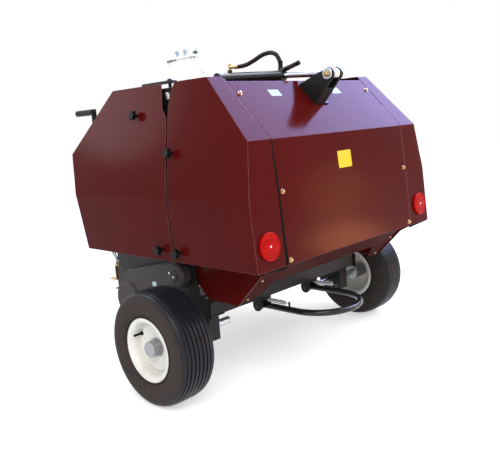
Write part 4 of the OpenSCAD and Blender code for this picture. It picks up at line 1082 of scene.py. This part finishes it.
# ripples of a bead: distance between them, and their share of its half width
RIPPLE_PITCH, RIPPLE_DEPTH = 3.4, 0.14


class BALER_OT_fittings(bpy.types.Operator):
    """Guard bolts, blank guard plate, pick-up fittings and weld beads"""

    bl_idname = "baler.fittings"
    bl_label = "Fittings"

    def execute(self, context):
        self.guard()
        self.lift()
        self.welds()
        return {"FINISHED"}

    def guard(self):
        bolts = Shape()
        for x, z in BOSS_BOLTS:
            bolts.hex_bolt((x, BOSS_FACE, z), (0.0, 1.0, 0.0), 8.0)
        bolts.build("guard_bolts", "bright_zinc", "frame", "zinc_plate")
        plate = Shape()
        flat = facing((164.0, GUARD_FACE, 365.0), (0.0, 1.0, 0.0), (0.21, 0.0, 0.98))
        thick = sizes().plate_thickness / MM
        plate.prism(rounded_rectangle(33.0, 24.0, 2.0), flat, PLATE_BACK, thick, PLATE_EDGE)
        plate.build("guard_plate", "pale_foil", "frame", "grey_guard")

    def lift(self):
        """Bent strips, bolts, pins and slack chains at the front of the pick-up."""
        gold, zinc = Shape(), Shape()
        wire = sizes().chain_wire / MM
        strip = facing((0.0, 0.0, 0.0), (0.0, 1.0, 0.0), (1.0, 0.0, 0.0))
        for side in (-1, 1):
            outward = Vector((0.0, side, 0.0))
            flip = Vector((1.0, side, 1.0))
            middle = side * STRIP_SIDE
            gold.prism([(x, -z) for x, z in LIFT_STRIP], strip, middle - STRIP_HALF, middle + STRIP_HALF)
            (bolt_x, bolt_z), (pin_x, pin_z) = STRIP_BOLT, EDGE_PIN_PLACE
            gold.hex_bolt((bolt_x, side * PICKUP_FACE, bolt_z), outward, 13.0, 9.5)
            zinc.lathe(EDGE_PIN, facing((pin_x, side * (PICKUP_FACE - 0.1), pin_z), outward), 20)
            zinc.lathe(CHAIN_PIN, facing((CHAIN_FOOT.x, side * PICKUP_FACE, CHAIN_FOOT.z), outward), 24)
            zinc.lathe(CHAIN_PIN, facing((CHAIN_TOP.x, side * WALL_FACE, CHAIN_TOP.z), -outward), 24)
            for k in range(CHAIN_LINKS):
                t = k / (CHAIN_LINKS - 1)
                middle = chain_line(t)
                ahead = (chain_line(t + 0.01) - chain_line(t - 0.01)).normalized()
                across = ahead.cross(Vector((0.0, 1.0, 0.0))).normalized()
                if k % 2:
                    across = ahead.cross(across)
                chain_link(zinc, middle * flip, ahead * flip, across * flip, wire)
        gold.build("lift_strips", "yellow_zinc", "frame", "gold_zinc")
        zinc.build("lift_chains", "bright_zinc", "frame", "zinc_plate")

    def welds(self):
        half = sizes().weld_width / 2 / MM
        beads = Shape()

        def ripple(run, angle):
            return half * (1.0 - RIPPLE_DEPTH + RIPPLE_DEPTH * abs(math.sin(math.pi * run / RIPPLE_PITCH)))

        for path in WELDS:
            for side in (-1, 1):
                bead = even([Vector((x, side * y, z)) for x, y, z in path], RIPPLE_PITCH / 4)
                beads.tube(bead, ripple, 10)
        beads.build("weld_beads", "satin_black", "frame", "black_paint", sharp=70.0)


# stage

# the camera from the wheel axle's foot in metres, its angles in radians and its focal length
CAMERA_PLACE = Vector((-1.6797, 1.8386, 0.9424))
CAMERA_YAW, CAMERA_PITCH, CAMERA_ROLL = -0.7961, 0.1642, -0.0740
CAMERA_LENS = 44.65
LAMP_AIM = Vector((0.0, 0.0, 0.7))
WHITE = (1.0, 1.0, 1.0, 1.0)


class BALER_OT_stage(bpy.types.Operator):
    """Pale floor, soft light, mirrored cards and the camera"""

    bl_idname = "baler.stage"
    bl_label = "Stage"

    def execute(self, context):
        self.world(context.scene)
        self.floor()
        self.lamps()
        self.camera(context.scene)
        context.scene.view_settings.view_transform = "Standard"
        return {"FINISHED"}

    def seen_directly(self, tree):
        """One for camera, glossy and transmission rays."""
        rays = put(tree, "ShaderNodeLightPath").outputs
        shiny = calc(tree, "MAXIMUM", rays["Is Glossy Ray"], rays["Is Transmission Ray"])
        return calc(tree, "MAXIMUM", rays["Is Camera Ray"], shiny)

    def world(self, scene):
        world = bpy.data.worlds.new("studio")
        world.use_nodes = True
        scene.world = world
        tree = world.node_tree
        tree.nodes.clear()
        height = put(tree, "ShaderNodeSeparateXYZ", {0: put(tree, "ShaderNodeTexCoord").outputs["Generated"]})
        share = ramp(tree, height.outputs["Z"], -0.1, 0.9)
        sky = mixed(tree, share, (0.97, 0.97, 0.98), (1.0, 1.02, 1.08))
        soft = put(tree, "ShaderNodeBackground", {"Color": sky, "Strength": stage().daylight})
        white = put(tree, "ShaderNodeBackground", {"Color": WHITE, "Strength": 1.0})
        both = put(tree, "ShaderNodeMixShader",
                   {0: self.seen_directly(tree), 1: soft.outputs[0], 2: white.outputs[0]})
        put(tree, "ShaderNodeOutputWorld", {"Surface": both.outputs[0]})

    def floor(self):
        work = bmesh.new()
        bmesh.ops.create_circle(work, cap_ends=True, segments=96, radius=stage().floor_radius)
        mesh = bpy.data.meshes.new("floor")
        work.to_mesh(mesh)
        work.free()
        floor = add_object("floor", mesh)
        floor.location = (0.0, 0.0, -0.0005)
        material = bpy.data.materials.new("pale_floor")
        material.use_nodes = True
        tree = material.node_tree
        tree.nodes.clear()
        place = own_place(tree)
        base = stage().floor
        tone = mixed(tree, ramp(tree, noise(tree, place, 3.0), 0.3, 0.7), base, [0.985 * c for c in base])
        shader = put(tree, "ShaderNodeBsdfPrincipled",
                     {"Base Color": tone, "Roughness": 0.9, "Specular IOR Level": 0.0})
        lift = put(tree, "ShaderNodeEmission", {"Color": WHITE, "Strength": stage().floor_lift})
        bright = put(tree, "ShaderNodeAddShader", {0: shader.outputs[0], 1: lift.outputs[0]})
        both = put(tree, "ShaderNodeMixShader",
                   {0: self.seen_directly(tree), 1: shader.outputs[0], 2: bright.outputs[0]})
        put(tree, "ShaderNodeOutputMaterial", {"Surface": both.outputs[0]})
        mesh.materials.append(material)

    def lamps(self):
        looks = stage()
        warm = looks.glow_tint
        for name, watts, shape, size, place, tint in (
            ("key_lamp", looks.key, "RECTANGLE", (2.6, 2.0), (-2.4, 2.6, 3.2), (1.0, 0.985, 0.96)),
            ("side_lamp", looks.side, "RECTANGLE", (2.4, 2.0), (-2.6, -2.6, 2.6), (0.97, 0.98, 1.0)),
            ("sky_panel", looks.sheen, "RECTANGLE", (5.0, 3.6), (0.0, -3.1, 3.4), looks.sheen_tint),
            ("warm_card", looks.glow, "ELLIPSE", (0.5, 0.6), (-2.36, -2.31, 0.62), warm),
            ("low_warm_card", looks.glow_low, "ELLIPSE", (0.6, 0.25), (-2.34, -2.29, 0.20), warm),
            ("ram_card", looks.ram_shine, "RECTANGLE", (3.2, 0.9), (2.05, 0.2, 3.3), (0.78, 0.86, 1.0)),
            ("cloud_card", looks.cloud, "ELLIPSE", (1.2, 1.5), (3.60, 2.62, 2.15), (1.0, 0.92, 0.97)),
        ):
            lamp = bpy.data.lights.new(name, "AREA")
            lamp.shape = shape
            lamp.size, lamp.size_y = size
            lamp.energy = watts
            lamp.color = tint
            holder = add_object(name, lamp)
            holder.location = place
            holder.rotation_euler = (LAMP_AIM - Vector(place)).to_track_quat("-Z", "Y").to_euler()
            holder.visible_camera = False
            if name not in ("key_lamp", "side_lamp"):
                holder.visible_diffuse = False

    def camera(self, scene):
        lens = bpy.data.cameras.new("photo_camera")
        lens.sensor_fit = "HORIZONTAL"
        lens.sensor_width = 36.0
        lens.lens = CAMERA_LENS
        lens.clip_end = 60.0
        camera = add_object("photo_camera", lens)
        flat = math.cos(CAMERA_PITCH)
        ahead = Vector((math.cos(CAMERA_YAW) * flat, math.sin(CAMERA_YAW) * flat, -math.sin(CAMERA_PITCH)))
        across = ahead.cross(Vector((0.0, 0.0, 1.0))).normalized()
        up = across.cross(ahead)
        right = math.cos(CAMERA_ROLL) * across + math.sin(CAMERA_ROLL) * up
        top = -math.sin(CAMERA_ROLL) * across + math.cos(CAMERA_ROLL) * up
        turn = Matrix((right, top, -ahead)).transposed().to_4x4()
        camera.matrix_world = Matrix.Translation(CAMERA_PLACE + AXLE_FOOT) @ turn
        scene.camera = camera


class BALER_PT_looks(bpy.types.Panel):
    """Sizes, colours and steps of the baler's looks"""

    bl_idname = "BALER_PT_looks"
    bl_label = "Baler"
    bl_space_type = "VIEW_3D"
    bl_region_type = "UI"
    bl_category = "Baler"

    def draw(self, context):
        for group in (context.scene.baler_colours, context.scene.baler_sizes, context.scene.baler_stage):
            box = self.layout.box()
            for key in group.__annotations__:
                box.prop(group, key)
        for step in STEPS:
            self.layout.operator(step.bl_idname)


STEPS = [BALER_OT_stage, BALER_OT_finishes, BALER_OT_wheels, BALER_OT_tailgate, BALER_OT_ram,
         BALER_OT_springs, BALER_OT_fittings]
GROUPS = {"baler_colours": BalerColours, "baler_sizes": BalerSizes, "baler_stage": BalerStage}


def register():
    for key, group in GROUPS.items():
        bpy.utils.register_class(group)
        setattr(bpy.types.Scene, key, PointerProperty(type=group))
    for kind in [*STEPS, BALER_PT_looks]:
        bpy.utils.register_class(kind)


def unregister():
    for kind in [BALER_PT_looks, *reversed(STEPS)]:
        bpy.utils.unregister_class(kind)
    for key, group in reversed(GROUPS.items()):
        delattr(bpy.types.Scene, key)
        bpy.utils.unregister_class(group)


def main():
    register()
    for step in STEPS:
        family, name = step.bl_idname.split(".")
        getattr(getattr(bpy.ops, family), name)()


if __name__ == "__main__":
    main()
